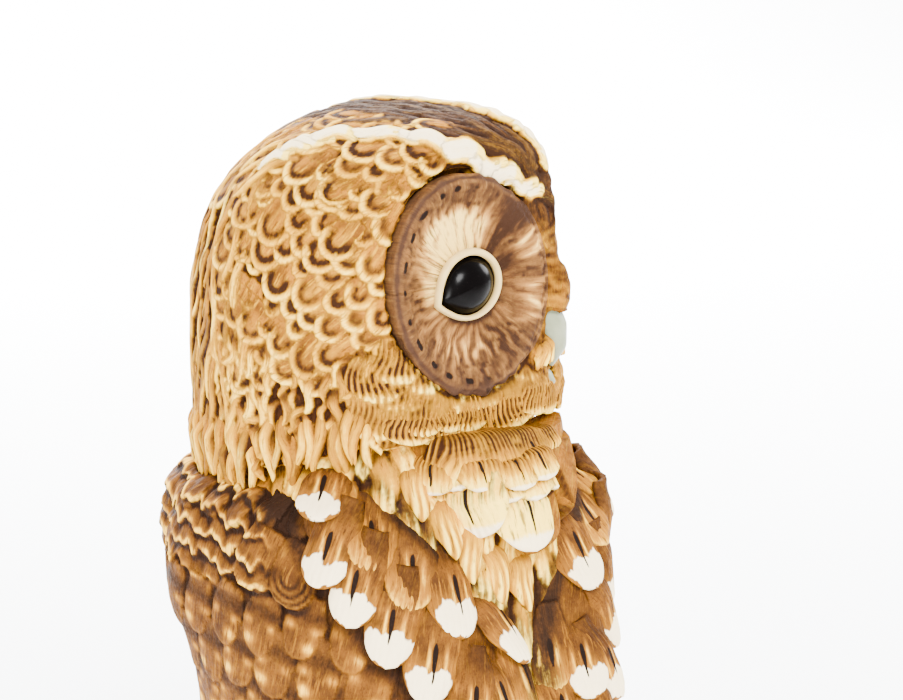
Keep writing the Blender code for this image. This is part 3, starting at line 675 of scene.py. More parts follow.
def painted_bisque(name, ground, shade, wash, dusk, light, pale):
    """Unglazed porcelain fired matt, with stains brushed on by hand: a streaky tan ground, brown settled in the
    hollows, gold and cream dragged over the ridges, white tips and black strokes. IOR 1.5, roughness about 0.6, and
    hardly any sheen, because the dry stain swallows it. Real bisque's grain and a brush's hairs are too fine to show,
    so they are drawn as coarse as the sizes below."""
    made, tree, shader = new_material(name)
    place = add(tree, "ShaderNodeTexCoord", "Object")
    barb = add(tree, "ShaderNodeAttribute", "Vector", attribute_name="barb")
    told = {mark: add(tree, "ShaderNodeAttribute", "Fac", attribute_name=mark) for mark in Casting.MARKS}
    hairs = {"Vector": barb, "Scale": 1 / BRUSH_HAIRS, "Detail": 4.0, "Roughness": 0.65}
    strokes = add(tree, "ShaderNodeTexNoise", "Fac", hairs)
    grain, cloud, stipple = (
        add(tree, "ShaderNodeTexNoise", "Fac", {"Vector": place, "Scale": 1 / (size * MM), "Detail": detail})
        for size, detail in ((BISQUE_GRAIN, 3.0), (UNEVEN_WASH, 3.0), (STAIN_SPECKS, 1.0))
    )
    streaky = add(tree, "ShaderNodeMath", "Value", {0: cloud, 1: strokes}, operation="ADD")
    washes = {"Factor": told["dusk"], "A": linear(wash), "B": linear(dusk)}
    dark = add(tree, "ShaderNodeMix", "Result", washes, data_type="RGBA")
    # Each stain over the last: where it lies, from what value to what, how thick at each, how broken its edge, colour.
    layers = (
        (streaky, 0.8, 1.2, 0.0, 1.0, 0.0, linear(shade)),
        (stipple, 0.48, 0.72, 0.0, 0.45, 0.0, linear(shade)),
        (strokes, 0.5, 0.66, 0.0, 0.7, 0.0, linear(light)),
        (told["pale"], 0.0, 0.7, 0.0, 1.0, 0.0, linear(light)),
        (told["deep"], 0.1, 0.95, 0.0, 1.0, 0.9, dark),
        (told["pale"], 0.4, 1.05, 0.0, 1.0, 0.9, linear(pale)),
        (strokes, 0.33, 0.46, 0.7, 0.0, 0.0, dark),
        (told["white"], 0.3, 0.65, 0.0, 1.0, 0.6, opaque(finishes().tip_white)),
        (told["black"], 0.3, 0.55, 0.0, 1.0, 0.25, opaque(finishes().stroke_black)),
    )
    colour = linear(ground)
    for mask, low, high, thin, thick, broken, over in layers:
        if broken:
            for texture, share in ((strokes, broken), (grain, 0.4 * broken)):
                parts = {0: texture, 1: share, 2: mask}
                mask = add(tree, "ShaderNodeMath", "Value", parts, operation="MULTIPLY_ADD")
        low, high = low + 0.7 * broken, high + 0.7 * broken
        limits = {"Value": mask, "From Min": low, "From Max": high, "To Min": thin, "To Max": thick}
        share = add(tree, "ShaderNodeMapRange", "Result", limits, interpolation_type="SMOOTHSTEP")
        laid = {"Factor": share, "A": colour, "B": over}
        colour = add(tree, "ShaderNodeMix", "Result", laid, data_type="RGBA")
    tree.links.new(colour, shader.inputs["Base Color"])
    limits = {"Value": grain, "From Min": 0.3, "From Max": 0.7, "To Min": 0.5, "To Max": 0.7}
    rough = add(tree, "ShaderNodeMapRange", "Result", limits, interpolation_type="SMOOTHSTEP")
    tree.links.new(rough, shader.inputs["Roughness"])
    shader.inputs["Specular IOR Level"].default_value = 0.02
    relief = add(tree, "ShaderNodeMath", "Value", {0: grain, 1: 0.5, 2: strokes}, operation="MULTIPLY_ADD")
    bump = add(tree, "ShaderNodeBump", "Normal", {"Height": relief, "Strength": 1.0, "Distance": 0.3 * MM})
    tree.links.new(bump, shader.inputs["Normal"])
    return made


# Sizes in mm of the bisque's grain, the cloudy wash, the specks of stain and the hairs of the brush.
BISQUE_GRAIN, UNEVEN_WASH, STAIN_SPECKS, BRUSH_HAIRS = 0.9, 5, 0.4, 0.6

# Stains as ground, shade, wash, dusk, light and pale. They are deep, because a studio's strong light lifts them.
BROWN_STAINS = ("#6B4114", "#3E240F", "#1F110A", "#24170F", "#A06616", "#F3BC3A")
GOLD_STAINS = ("#A06410", "#5C350E", "#2A160A", "#28180E", "#D8980F", "#FFD858")
DISC_STAINS = ("#734B25", "#4C311B", "#2B1A10", "#3A271C", "#A87438", "#E6BE62")
BARK_STAINS = ("#3A2D1E", "#2A2016", "#15100A", "#1A1B12", "#5C4A32", "#93805C")


def stained(name, stains):
    """The painted bisque of this name, made once."""
    return bpy.data.materials.get(name) or painted_bisque(name, *stains)


def brown_plumage():
    return stained("stained_bisque_brown", BROWN_STAINS)


def gold_plumage():
    return stained("stained_bisque_gold", GOLD_STAINS)


def glazed_porcelain(name, colour, rough, tint=None, shine=0.3):
    """Porcelain under a clear gloss glaze: IOR 1.5, nearly mirror smooth, a little uneven where the glaze pooled."""
    made, tree, shader = new_material(name)
    place = add(tree, "ShaderNodeTexCoord", "Object")
    pool = add(tree, "ShaderNodeTexNoise", "Fac", {"Vector": place, "Scale": 1 / (3 * MM), "Detail": 2.0})
    pooled = {"Factor": pool, "A": opaque(colour), "B": opaque(tint or colour)}
    tree.links.new(add(tree, "ShaderNodeMix", "Result", pooled, data_type="RGBA"), shader.inputs["Base Color"])
    varied = add(tree, "ShaderNodeMapRange", "Result", {"Value": pool, "To Min": rough, "To Max": rough * 1.6})
    tree.links.new(varied, shader.inputs["Roughness"])
    bump = add(tree, "ShaderNodeBump", "Normal", {"Height": pool, "Strength": 0.25, "Distance": 0.1 * MM})
    tree.links.new(bump, shader.inputs["Normal"])
    shader.inputs["Specular IOR Level"].default_value = shine
    return made


# ---- the head ----


def head_frame(points):
    """Points as distances ahead of the head's centre, towards its right, and up, and the angle from its face."""
    turn = math.radians(HEAD_TURN_DEG)
    x, y, z = (points - np.array(HEAD_CENTRE)).T
    ahead = math.sin(turn) * x - math.cos(turn) * y
    aside = -math.cos(turn) * x - math.sin(turn) * y
    return ahead, aside, z, np.degrees(np.arctan2(aside, ahead))


def head_vector(ahead, aside, up):
    """A direction in the head's own frame, as one in the figurine's."""
    turn = math.radians(HEAD_TURN_DEG)
    x = math.sin(turn) * ahead - math.cos(turn) * aside
    y = -math.cos(turn) * ahead - math.sin(turn) * aside
    return np.array((x, y, up))


def carve_head():
    head = Casting("head", 0.42)
    ahead, aside, up, turn = head_frame(head.points)
    outward = np.einsum("ij,ij->i", head.facing, head.points - np.array(HEAD_CENTRE))
    outer = outward > 12
    head.marks["deep"][:] = 0.5
    around = np.abs(turn)
    top = head.facing[:, 2] > 0.55
    away, beakward = disc_distance(head.points)
    nose = ramp(13 - np.abs(aside), 0, 4) * ramp(17 - up, 0, 6) * ramp(up, -17, -12) * (around < 60)
    clear = nose < 0.3

    zones = (
        (outer & (around > 48) & (around < 122) & (up > -12) & ~top & (away > 1.5), SCALLOP, 3.8, 11),
        (outer & (around > 112) & (up > -36) & (up < 31), STRAND, 3.7, 12),
        (outer & (around > 66) & (around < 125) & (up < -8), CURL, 2.7, 13),
        (outer & (np.abs(aside) < 16) & (up > 14) & (top | (around < 16)) & clear, CROWN, 3.6, 14),
        (outer & top & (np.abs(aside) >= 13) & (around > 40) & (away > 1), SCALLOP, 4.0, 15),
    )
    head.cover(zones, lambda i, kind: head_flow(aside[i], up[i], kind), 0.2, 0.7, 1.25)
    carve_chin(head)
    carve_brows(head)
    for side_name in SIDES:
        blend = nose * (aside * SIDES[side_name] > 0) * outer
        deep, pale, streak = disc_streaks(head.points, side_name)
        head.height = head.height * (1 - blend) + blend * 0.25 * streak
        head.marks["deep"] = head.marks["deep"] * (1 - blend) + blend * deep
        head.marks["pale"] = head.marks["pale"] * (1 - blend) + blend * pale
        head.marks["dusk"] = head.marks["dusk"] * (1 - blend) + blend * 0.3 * ramp(up, 4, 12)
    ring = ridge(away, 0.5, 0.8) * (1 - beakward) * outer
    head.height -= 0.45 * ring
    head.marks["deep"] = np.maximum(head.marks["deep"], ring * 0.9)
    head.marks["dusk"] = np.maximum(head.marks["dusk"], ring * 0.8)
    for step in range(-6, 7):
        place, facing = head.nearest(np.array(HEAD_CENTRE) + head_vector(38, 1.2 * step, -8.5 - 0.4 * abs(step)))
        head.plume(place, facing, head_vector(0.1, 0.12 * step, -1), LANCE, 0.42, 0.9, 0.4)
    hang_ruff(head)
    head.finish(gold_plumage(), "brown_bisque", sink=0.7)


def carve_chin(head):
    """Rows of combed feathers under the discs, from one side of the ruff to the other."""
    rng = np.random.default_rng(16)
    for k, up in enumerate((-21.5, -18, -14.5, -11, -7.5)):
        for face_turn in np.arange(-72 + 7 * (k % 2), 76, 13.5):
            found = head.spot(HEAD_CENTRE, face_turn - HEAD_TURN_DEG, HEAD_CENTRE[2] + up + rng.normal(0, 0.5))
            if found is None:
                continue
            scale = rng.uniform(0.9, 1.1)
            head.feather(*found, (0, 0, -1), CHIN, scale, 1.0, 0.9 * ridge(up, -22, 7))


def hang_ruff(head):
    """Whole feathers round the hem of the ruff, free at their tips, over the shoulders and the bib."""
    rng = np.random.default_rng(19)
    theta = -180.0
    while theta < 180:
        face_turn = theta + HEAD_TURN_DEG
        face_turn = (face_turn + 180) % 360 - 180
        hem = HEAD_CENTRE[2] + np.interp(theta, *HEM)
        front = abs(face_turn) < 62
        if front and round(theta) % 2:
            chin = head.spot(HEAD_CENTRE, theta + 4, hem + 3.0)
            head.plume(*chin, (0, 0, -1), CHIN, rng.uniform(0.85, 1.05), 1.0, -0.9)
        kind = CHIN if front else STRAND if rng.random() > 0.4 or abs(face_turn) > 112 else CURL
        shortest, longest = (1.0, 3.0) if front else (1.5, 6.5) if abs(face_turn) < 130 else (0, 3)
        raised = kind.length / 2 - rng.uniform(shortest, longest)
        found = head.spot(HEAD_CENTRE, theta, hem + raised)
        if found is not None:
            out = found[1]
            down = np.array((0.0, 0.0, -1.0)) + 0.12 * out + rng.normal(0, 0.1, 3)
            scale = rng.uniform(0.85, 1.15)
            head.plume(*found, down, kind, scale, 1.15, rng.uniform(0.1, 0.6) - 1.0 * front)
        theta += (8.5 if front else 2.6) * rng.uniform(0.8, 1.2)


# How low the ruff hangs at each angle round the body: degrees, and mm from the head's centre.
HEM = (
    (-180, -150, -117, -95, -75, -55, -15, 20, 35, 48, 60, 83, 117, 180),
    (-34, -34, -31.5, -29, -25.5, -22, -21, -21.5, -23, -26, -28.5, -31, -34, -34),
)


def head_flow(aside, up, kind):
    """Which way the feathers lie at a point of the head."""
    side = 1 if aside > 0 else -1
    if kind is SCALLOP:
        return head_vector(-0.75, 0.25 * side, -0.8)
    if kind is CROWN:
        return head_vector(-1.0, 0.0, 0.0) if up > 20 else head_vector(-0.2, 0.25 * side, 1.0)
    if kind is CURL:
        return head_vector(-0.25, 0.0, -1.0)
    return head_vector(-0.8 if up > 24 else -0.25, 0.0, -1.0)


def carve_brows(head):
    """Two lumpy white stripes that run back over the crown, one above each disc."""
    # Distance ahead of the head's centre, to the side, and up.
    path = np.array(((33, 5, 21), (29, 10, 24.5), (25.5, 14, 27), (21, 18, 29.8), (11, 21, 32.3), (0, 22.5, 32)))
    path = np.vstack((path, ((-7, 24.8, 30), (-13, 26.5, 27))))
    for side, inward in ((1, 1.0), (-1, 0.25)):
        for k in range(22):
            share = k / 21
            ahead, aside, up = (np.interp(share * 7, range(8), path[:, i]) for i in range(3))
            target = np.array(HEAD_CENTRE) + head_vector(ahead, aside * side * inward, up + 6 * (1 - inward))
            place, facing = head.nearest(target)
            direction = head_vector(-1.0, (0.1 + 0.9 * (1 - share) ** 2) * side, 0.35 * (1 - share))
            scale = (0.5 + 0.25 * math.sin(share * math.pi)) * (1 + 0.2 * math.sin(2.6 * k))
            head.feather(place, facing, direction, BROW, scale, 1.2, 0.75 - 0.3 * share)


# ---- facial discs, eyes and beak ----


def disc_frame(side_name):
    """A facial disc's centre in mm, and its across, up and outward directions, from its casting."""
    vertices = np.array([v.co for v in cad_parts[side_name + "_facial_disc"].data.vertices]) / MM
    centre = vertices.mean(axis=0)
    _, _, axes = np.linalg.svd(vertices - centre)
    out = axes[2] * math.copysign(1, axes[2] @ (centre - np.array(HEAD_CENTRE)))
    up = unit(np.array((0.0, 0.0, 1.0)) - out * out[2])
    rim = (vertices @ out - centre @ out).max() - RIM_OVER_DISC
    return centre + out * rim, np.cross(up, out), up, out


# How far the rim's crest stands over the plane that the eye is set in.
RIM_OVER_DISC = 1.7


def disc_polar(points, side_name):
    """Each point's place in a disc's own frame: how far out as a share of the rim, and the angle from its right."""
    centre, across, up, out = disc_frame(side_name)
    offset = points - centre
    x, y, z = offset @ across / DISC_HALF_W, offset @ up / DISC_HALF_H, offset @ out
    return np.hypot(x, y), np.arctan2(y, x), x, y, z


DISC_HALF_W, DISC_HALF_H = 17.5, 20.7


def disc_distance(points):
    """How far each point lies outside the nearer disc's rim, in mm, and how much it is on the beak's side of it."""
    nearest, beakward = np.full(len(points), 99.0), np.zeros(len(points))
    for side_name, side in SIDES.items():
        share, _, x, y, depth = disc_polar(points, side_name)
        away = (share - 1) * 19 + np.clip(np.abs(depth) - 7, 0, None)
        away = np.where(depth > -16, away, 99.0)
        closer = away < nearest
        nearest = np.where(closer, away, nearest)
        beakward = np.where(closer, beak_side(x * side, y), beakward)
    return nearest, beakward


def beak_side(beakward, y):
    """1 where a disc's edge runs into the bridge of the beak, and 0 where it stands clear of the head."""
    return ramp(beakward, 0.35, 0.7) * ramp(0.85 - np.abs(y), 0, 0.3)


def disc_streaks(points, side_name):
    """How deep and how pale a disc is stained, and its carved streaks, which all run out from the eye."""
    side = SIDES[side_name]
    share, _, x, y, _ = disc_polar(points, side_name)
    away_x, away_y = x * DISC_HALF_W * side, y * DISC_HALF_H - EYE_DROP
    angle, eye_away = np.arctan2(away_y, away_x), np.hypot(away_x, away_y)
    degrees = np.degrees(angle) % 360
    wobble = value_noise(points, 3.0, 3)
    spokes = 0.5 + 0.5 * np.sin(angle * 29 + 9 * wobble)
    fine = 0.5 + 0.5 * np.sin(angle * 83 + 6 * value_noise(points, 2.0, 5))
    streak = 0.65 * spokes + 0.35 * fine
    # Measured from the beak's side: above the eye is pale, then a dark stroke, a pale patch, and gold by the beak.
    reach = ramp(share + 0.16 * (spokes - 0.5), 0.55, 0.9)
    above = ridge(degrees, 105, 42) * (1 - ramp(eye_away, 11.5, 15.5 + 2 * wobble))
    behind = ridge(degrees, 180, 34) * ridge(eye_away, 8.5, 2.2)
    stroke = ridge(degrees, 48, 6 + 4 * ramp(eye_away, 8, 20)) + 0.8 * ridge(degrees, 22, 12) * ridge(eye_away, 9, 3)
    patch = ridge(degrees, 24, 10) * ridge(eye_away, 15.5, 2.8)
    patch = patch + 0.8 * ridge(degrees, 345, 16) * ridge(eye_away, 15, 2.2)
    below = ridge(degrees, 262, 40) * ridge(eye_away, 12.5, 2.6) * ramp(spokes, 0.35, 0.8)
    lore = ridge(degrees, 350, 26) * ramp(11 - eye_away, 0, 3)
    above = above * (0.45 + 0.55 * ramp(streak, 0.15, 0.45))
    pale = np.clip(1.25 * above + 0.6 * behind + 0.9 * patch * streak + 0.5 * below + 0.2 * streak, 0, 1)
    deep = 0.14 + 0.5 * (1 - streak) + 0.15 * reach - 0.7 * above - 0.6 * patch - 0.4 * below
    deep += 1.1 * stroke * ramp(streak, 0.05, 0.4) + 0.9 * ridge(eye_away, 7.9, 0.45)
    flecks = ramp(value_noise(points, 1.3, 21), 0.66, 0.8) * ridge(share, 0.72, 0.16) * ramp(fine, 0.3, 0.6)
    deep += 0.6 * flecks + 0.35 * lore * (1 - fine)
    deep += 0.45 * ridge(degrees, 300, 14) * ridge(eye_away, 12, 4)
    return np.clip(deep, 0, 1), np.clip(pale - 0.6 * stroke, 0, 1), streak


def carve_disc(side_name):
    side = SIDES[side_name]
    disc = Casting(side_name + "_facial_disc", 0.32)
    share, angle, x, y, _ = disc_polar(disc.points, side_name)
    centre, across, up, out = disc_frame(side_name)
    front = ramp(disc.facing @ out, 0.0, 0.5)
    joined = beak_side(x * side, y)
    rim = ramp(share, 0.9, 0.935) * (1 - joined)
    deep, pale, streak = disc_streaks(disc.points, side_name)
    wobble = value_noise(disc.points, 3.0, 3)
    lumps = value_noise(disc.points, 2.2, 9)
    field = front * (1 - rim)
    disc.height += field * 0.3 * streak * ramp(share, 0.38, 0.5)
    disc.height += front * rim * (0.5 * lumps + 0.25 * np.sin(angle * 26 + 5 * wobble) * ramp(share, 0.9, 1))
    # The rim's height over the field sinks away towards the beak.
    disc.height -= 1.3 * joined * ramp(share, 0.78, 0.92) * front
    spaced = ramp(np.sin(angle * 22 + 3 * wobble), 0.35, 0.75) * (1 - joined)
    spaced = spaced * (0.4 + 0.6 * ramp(-x * side, -0.3, 0.3))
    pits = ridge(share, 0.875, 0.03) * spaced * front
    disc.height -= 0.45 * pits
    crease = ridge(share, 0.965, 0.012) * (1 - joined) * front
    disc.height -= 0.3 * crease
    chin_lump = ridge(y, -0.96, 0.1) * ridge(x, 0.0, 0.35) * front
    disc.height += 1.2 * chin_lump * lumps
    disc.marks["pale"] = pale * field + 0.18 * rim * lumps * front
    disc.marks["deep"] = np.clip(np.where(rim > 0.4, 0.3 + 0.4 * lumps, deep) + 0.5 * crease + 0.4 * chin_lump, 0, 1)
    disc.marks["dusk"] = np.clip(0.9 * rim + 0.3 * ramp(share, 0.6, 0.9), 0, 1)
    disc.marks["black"] = np.clip(0.95 * pits + 0.5 * chin_lump * (lumps > 0.62), 0, 1)
    # The opening closes on the lid, and the beak's side of the disc runs on into the bridge of the nose.
    eye_away = np.hypot(x * DISC_HALF_W, y * DISC_HALF_H - EYE_DROP)
    outward = unit_rows(np.outer(x * DISC_HALF_W, across) + np.outer(y * DISC_HALF_H - EYE_DROP, up))
    drawn = 1.5 * joined * ramp(share, 0.75, 0.95) - 1.1 * ramp(10.0 - eye_away, 0, 2.5)
    disc.points += outward * drawn[:, None]
    eye_angle = np.arctan2(y * DISC_HALF_H - EYE_DROP, x * DISC_HALF_W)
    disc.barb[:, 0] = eye_angle * 12.0
    disc.barb[:, 1] = share * 2.0
    disc.barb[:, 2] = side
    disc.finish(disc_plumage(), "cream_bisque", hollows=0.8)


def disc_plumage():
    return stained("stained_bisque_disc", DISC_STAINS)


def almond(angle, corner, grow=0.0):
    """The outline of the eye's opening: an ellipse drawn out to a point at one corner."""
    away = (angle - corner + math.pi) % math.tau - math.pi
    half_width, half_height = finishes().eye_width / MM / 2, finishes().eye_height / MM / 2
    oval = 1 / math.hypot(math.cos(away) / half_width, math.sin(away) / half_height)
    return oval + grow + 1.5 * math.exp(-((abs(away) / 0.3) ** 1.2))


EYE_DROP = -0.1


def eye_corner(side):
    """The angle of the eye's pointed corner in its disc's frame: low on the side away from the beak."""
    return math.radians(203) if side > 0 else math.radians(-23)


def make_eye(side_name):
    """A domed eyeball with the eye's almond outline, rounded to the back."""
    side = SIDES[side_name]
    centre, across, up, out = disc_frame(side_name)
    origin = centre + up * EYE_DROP
    bm = bmesh.new()
    rings = []
    steps = 72
    for share, height in dome_profile():
        ring = []
        for k in range(steps):
            angle = math.tau * k / steps
            radius = almond(angle, eye_corner(side), 0.25) * share
            point = origin + across * radius * math.cos(angle) + up * radius * math.sin(angle) + out * height
            ring.append(bm.verts.new(Vector(point) * MM))
        rings.append(ring)
    for lower, upper in zip(rings, rings[1:]):
        for k in range(steps):
            bm.faces.new((lower[k], lower[(k + 1) % steps], upper[(k + 1) % steps], upper[k]))
    bm.faces.new(list(reversed(rings[0])))
    bm.faces.new(rings[-1])
    return closed_piece(side_name + "_eye_dome", bm)


def dome_profile():
    """Share of the outline's radius and height over the disc's rim plane, from the back of the eye to its front."""
    back = [(0.25 + 0.75 * k / 5, -6.5 + 4.6 * (k / 5) ** 2) for k in range(6)]
    front = []
    for k in range(1, 18):
        lift = math.radians(90 * k / 18)
        front.append((math.cos(lift) ** 0.9, -1.9 + 4.6 * math.sin(lift)))
    return back + front + [(0.04, 2.7)]


def closed_piece(name, bm):
    bmesh.ops.recalc_face_normals(bm, faces=bm.faces)
    mesh = bpy.data.meshes.new(name)
    bm.to_mesh(mesh)
    bm.free()
    mesh.shade_smooth()
    piece = bpy.data.objects.new(name, mesh)
    bpy.context.scene.collection.objects.link(piece)
    return piece


def make_eyelid(side_name):
    """A soft rolled lid that follows the almond outline, higher above than below."""
    side = SIDES[side_name]
    centre, across, up, out = disc_frame(side_name)
    origin = centre + up * EYE_DROP
    steps, around = 96, 14
    bm = bmesh.new()
    rings = []
    for k in range(steps):
        angle = math.tau * k / steps
        radius = almond(angle, eye_corner(side), 0.72)
        radial = across * math.cos(angle) + up * math.sin(angle)
        wide = 0.62 - 0.12 * math.sin(angle - eye_corner(side))
        lift = 0.3 + 0.25 * math.sin(angle)
        ring = []
        for j in range(around):
            turn = math.tau * j / around
            point = origin + radial * (radius + wide * math.cos(turn)) + out * (lift + 1.0 * math.sin(turn))
            ring.append(bm.verts.new(Vector(point) * MM))
        rings.append(ring)
    for k in range(steps):
        first, second = rings[k], rings[(k + 1) % steps]
        for j in range(around):
            i = (j + 1) % around
            bm.faces.new((first[j], first[i], second[i], second[j]))
    return closed_piece(side_name + "_eyelid_rolled", bm)


def carve_beak(node):
    beak = Casting(node, 0.25, relax=10)
    beak.height += 0.05 * value_noise(beak.points, 1.2, 4)
    return beak


# ---- the body ----


def body_row(casting, kind, thetas, heights, direction, scale=1.0, rise=0.0, width=1.0):
    """Lays one feather at each pair of angle and height round the body, but none where the casting isn't there."""
    for theta, height in zip(thetas, heights):
        found = casting.spot(BODY_AXIS, theta, height)
        if found is not None:
            casting.feather(*found, direction(theta), kind, scale, width, rise)


def body_plume(casting, kind, theta, height, lean, scale=1.0, rise=0.0, width=1.0):
    """Lays one whole feather, free at its tip, at this angle and height round the body."""
    found = casting.spot(BODY_AXIS, theta, height)
    if found is not None:
        casting.plume(*found, downward(lean)(theta), kind, scale, width, rise)


def downward(lean):
    """A direction down the body at an angle round it, leaning towards larger angles."""

    def at(theta):
        turn = math.radians(theta)
        sideways = np.array((-math.cos(turn), math.sin(turn), 0.0))
        return sideways * lean + np.array((0.0, 0.0, -1.0))

    return at


def body_angles(points):
    """Each point's angle round the body, in degrees."""
    flat = points - np.array(BODY_AXIS)
    return np.degrees(np.arctan2(-flat[:, 0], -flat[:, 1]))


def carve_bib():
    """Rows of combed fans, larger from the chin down, and two large white ones at the bottom."""
    bib = Casting("breast_bib", 0.34, relax=12)
    bib.marks["deep"][:] = 0.4
    # Angle, height and size of each fan, from the lowest row up.
    fans = ((13, 149.2, 0.75), (4, 148.6, 0.72), (-5, 148.2, 0.75), (-13, 148.8, 0.7))
    fans += ((15, 153.2, 0.84), (3, 152.8, 0.86), (-9, 152.8, 0.86), (-18, 153.6, 0.7))
    for theta, height, scale in fans:
        body_row(bib, FAN, [theta], [height], downward(0.0), scale, 0.0, 1.15)
    body_plume(bib, GRAND_FAN, -1.5, 142.6, 0.0, 1.05, 0.4)
    body_plume(bib, GRAND_FAN, 12.5, 145.6, -0.35, 0.92, 0.9, 1.1)
    for theta, height in ((21, 151.5), (10.5, 151.2), (0.5, 150.4), (-8, 151.2)):
        body_plume(bib, FAN, theta, height, 0.0, 0.78, 0.9, 1.1)
    low = ramp(153 - bib.points[:, 2], 0, 4)
    turn = body_angles(bib.points)
    bib.height += 0.9 * (1 - low) * ramp(turn, -14, 4) - (0.8 + 4.2 * low) * ramp(-turn, 12, 18)
    bib.finish(gold_plumage(), "cream_bisque", hollows=0.9)


def carve_trunk():
    trunk = Casting("trunk", 0.62, relax=6)
    flat = trunk.points - np.array(BODY_AXIS)
    outward = (trunk.facing[:, :2] * flat[:, :2]).sum(axis=1)
    turn = body_angles(trunk.points)
    level = trunk.points[:, 2]
    outer = outward > 6
    trunk.marks["deep"][:] = 0.55
    zones = (
        (outer & (level > 92) & (level < 160) & (np.abs(turn) < 70), LANCE, 4.6, 21),
        (outer & (level <= 100) & (level > 52), BELLY, 6.0, 22),
        (outer & (level <= 58), LANCE, 4.0, 23),
        (outer & (level > 70) & (np.abs(turn) >= 66), SOFT, 6.5, 24),
    )
    trunk.cover(zones, lambda i, kind: np.array((0.0, 0.0, -1.0)), 0.16, 0.85, 1.15)
    # Painted shade in the furrow along the coverts' front edge, where their step over the trunk throws a shadow.
    behind = ridge(furrow(turn, level), -1.5, 3.0) * (level > 100)
    trunk.marks["deep"] = np.maximum(trunk.marks["deep"], 0.8 * behind)
    trunk.marks["dusk"] = np.maximum(trunk.marks["dusk"], behind)
    for theta, height, lean in ((27, 148, 0.1), (20, 142, 0.0), (14, 137.5, 0.0), (7, 133, -0.1), (-1, 130.5, 0.0)):
        body_plume(trunk, LANCE, theta, height, lean, 1.0, 0.6, 1.15)
    trunk.finish(gold_plumage(), "brown_bisque")


def furrow(angles, levels):
    """How far each point lies behind the coverts' front edge, in mm round the body."""
    edge = np.interp(levels, (91, 103, 115, 123.5, 131, 138.5, 145, 151), (3, 1.6, 1.7, 7, 16.5, 25.5, 36, 48))
    return (np.abs(angles) - edge) * 0.7


def carve_coverts(side_name):
    """The front band of the wing: white-tipped feathers hang over its rear edge, and plainer ones lie in front."""
    side = SIDES[side_name]
    band = Casting(side_name + "_shoulder_coverts", 0.4, relax=12)
    band.marks["deep"][:] = 0.4
    raised = 0.0 if side > 0 else 2.5
    # Angle and height of each feather's middle, its lean to the rear, and its size.
    plain = ((52.5, 149, 0.1, 0.7), (30.5, 136, 0.25, 0.95), (4, 114, 0.1, 0.9), (40, 142, 0.2, 0.9))
    spotted = ((20.7, 131.2, 0.15, 1.0), (7.7, 123.4, 0.1, 1.0), (12, 112, 0.1, 0.9), (4, 104, 0.1, 0.9))
    hanging = ((54, 148.3, 0.1, 0.92), (49.3, 140.6, 0.2, 0.9), (42.6, 134.2, 0.25, 0.92), (34.8, 127.2, 0.2, 0.95))
    hanging += ((26.6, 120.6, 0.2, 0.95), (18.5, 112.5, 0.2, 0.9), (10.5, 104.5, 0.15, 0.85))
    for theta, height, lean, scale in plain:
        found = band.spot(BODY_AXIS, theta * side, height + raised)
        if found is not None:
            band.feather(*found, downward(lean * side)(theta * side), PLAIN, scale, 1.0, 0.2)
    for theta, height, lean, scale in reversed(hanging):
        body_plume(band, COVERT, theta * side, height, lean * side, scale, 0.1, 0.92)
    for theta, height, lean, scale in reversed(spotted):
        body_plume(band, COVERT, theta * side, height + raised, lean * side, scale, 0.3, 0.95)
    # Painted shade along the coverts' front edge, at the step down onto the trunk.
    shade_at_front_edge = ridge(furrow(body_angles(band.points), band.points[:, 2]), 0, 3.2)
    band.marks["deep"] = np.maximum(band.marks["deep"], shade_at_front_edge * 0.85)
    band.marks["dusk"] = np.maximum(band.marks["dusk"], shade_at_front_edge)
    band.finish(brown_plumage(), "brown_bisque", hollows=0.9, sink=0.5)


def carve_wing(side_name):
    """Soft brown at the shoulder, then cream bars, a barred tip, spotted rows, and the long flight feathers."""
    side = SIDES[side_name]
    wing = Casting(side_name + "_wing", 0.5, relax=10)
    wing.marks["deep"][:] = 0.3
    rng = np.random.default_rng(31)
    lean = downward(0.25 * side)
    for k in range(8):
        height = 124 - 8.0 * k
        wing_row(wing, side, SPOTTED, height, 8, 150 + 2 * k, 12.5, lean, 1.0 + 0.04 * k, 0.0, rng)
    for k in range(11):
        theta = 52 + 11 * k
        body_row(wing, QUILL, [theta * side], [82 - 1.5 * k], downward(0.42 * side), 1.0, 0.2 + 0.06 * k)
    body_row(wing, CRESCENT, [60 * side, 70 * side], [133.0, 134.5], lean, 0.85, 0.5)
    for theta in (64, 75, 86, 97, 108):
        body_row(wing, SOFT, [theta * side, (theta - 5) * side], [150, 143], lean, 0.6, 0.3)
    turn, level = np.abs(body_angles(wing.points)), wing.points[:, 2]
    paint_bars(wing, turn, level)
    # Painted shade in the hollow under the head's hem and behind the coverts' rear edge; the pale paint is taken off
    # there too.
    painted_shade = ridge(turn, 70, 9) * ramp(level, 139, 145) + 0.8 * ridge(furrow_rear(turn, level), 0, 3.5)
    wing.marks["deep"] = np.clip(np.maximum(wing.marks["deep"], painted_shade), 0, 1)
    wing.marks["dusk"] = np.clip(np.maximum(wing.marks["dusk"], 0.5 * painted_shade), 0, 1)
    wing.marks["pale"] *= 1 - np.clip(painted_shade, 0, 1)
    wing.finish(brown_plumage(), "brown_bisque", hollows=0.9, sink=0.5)


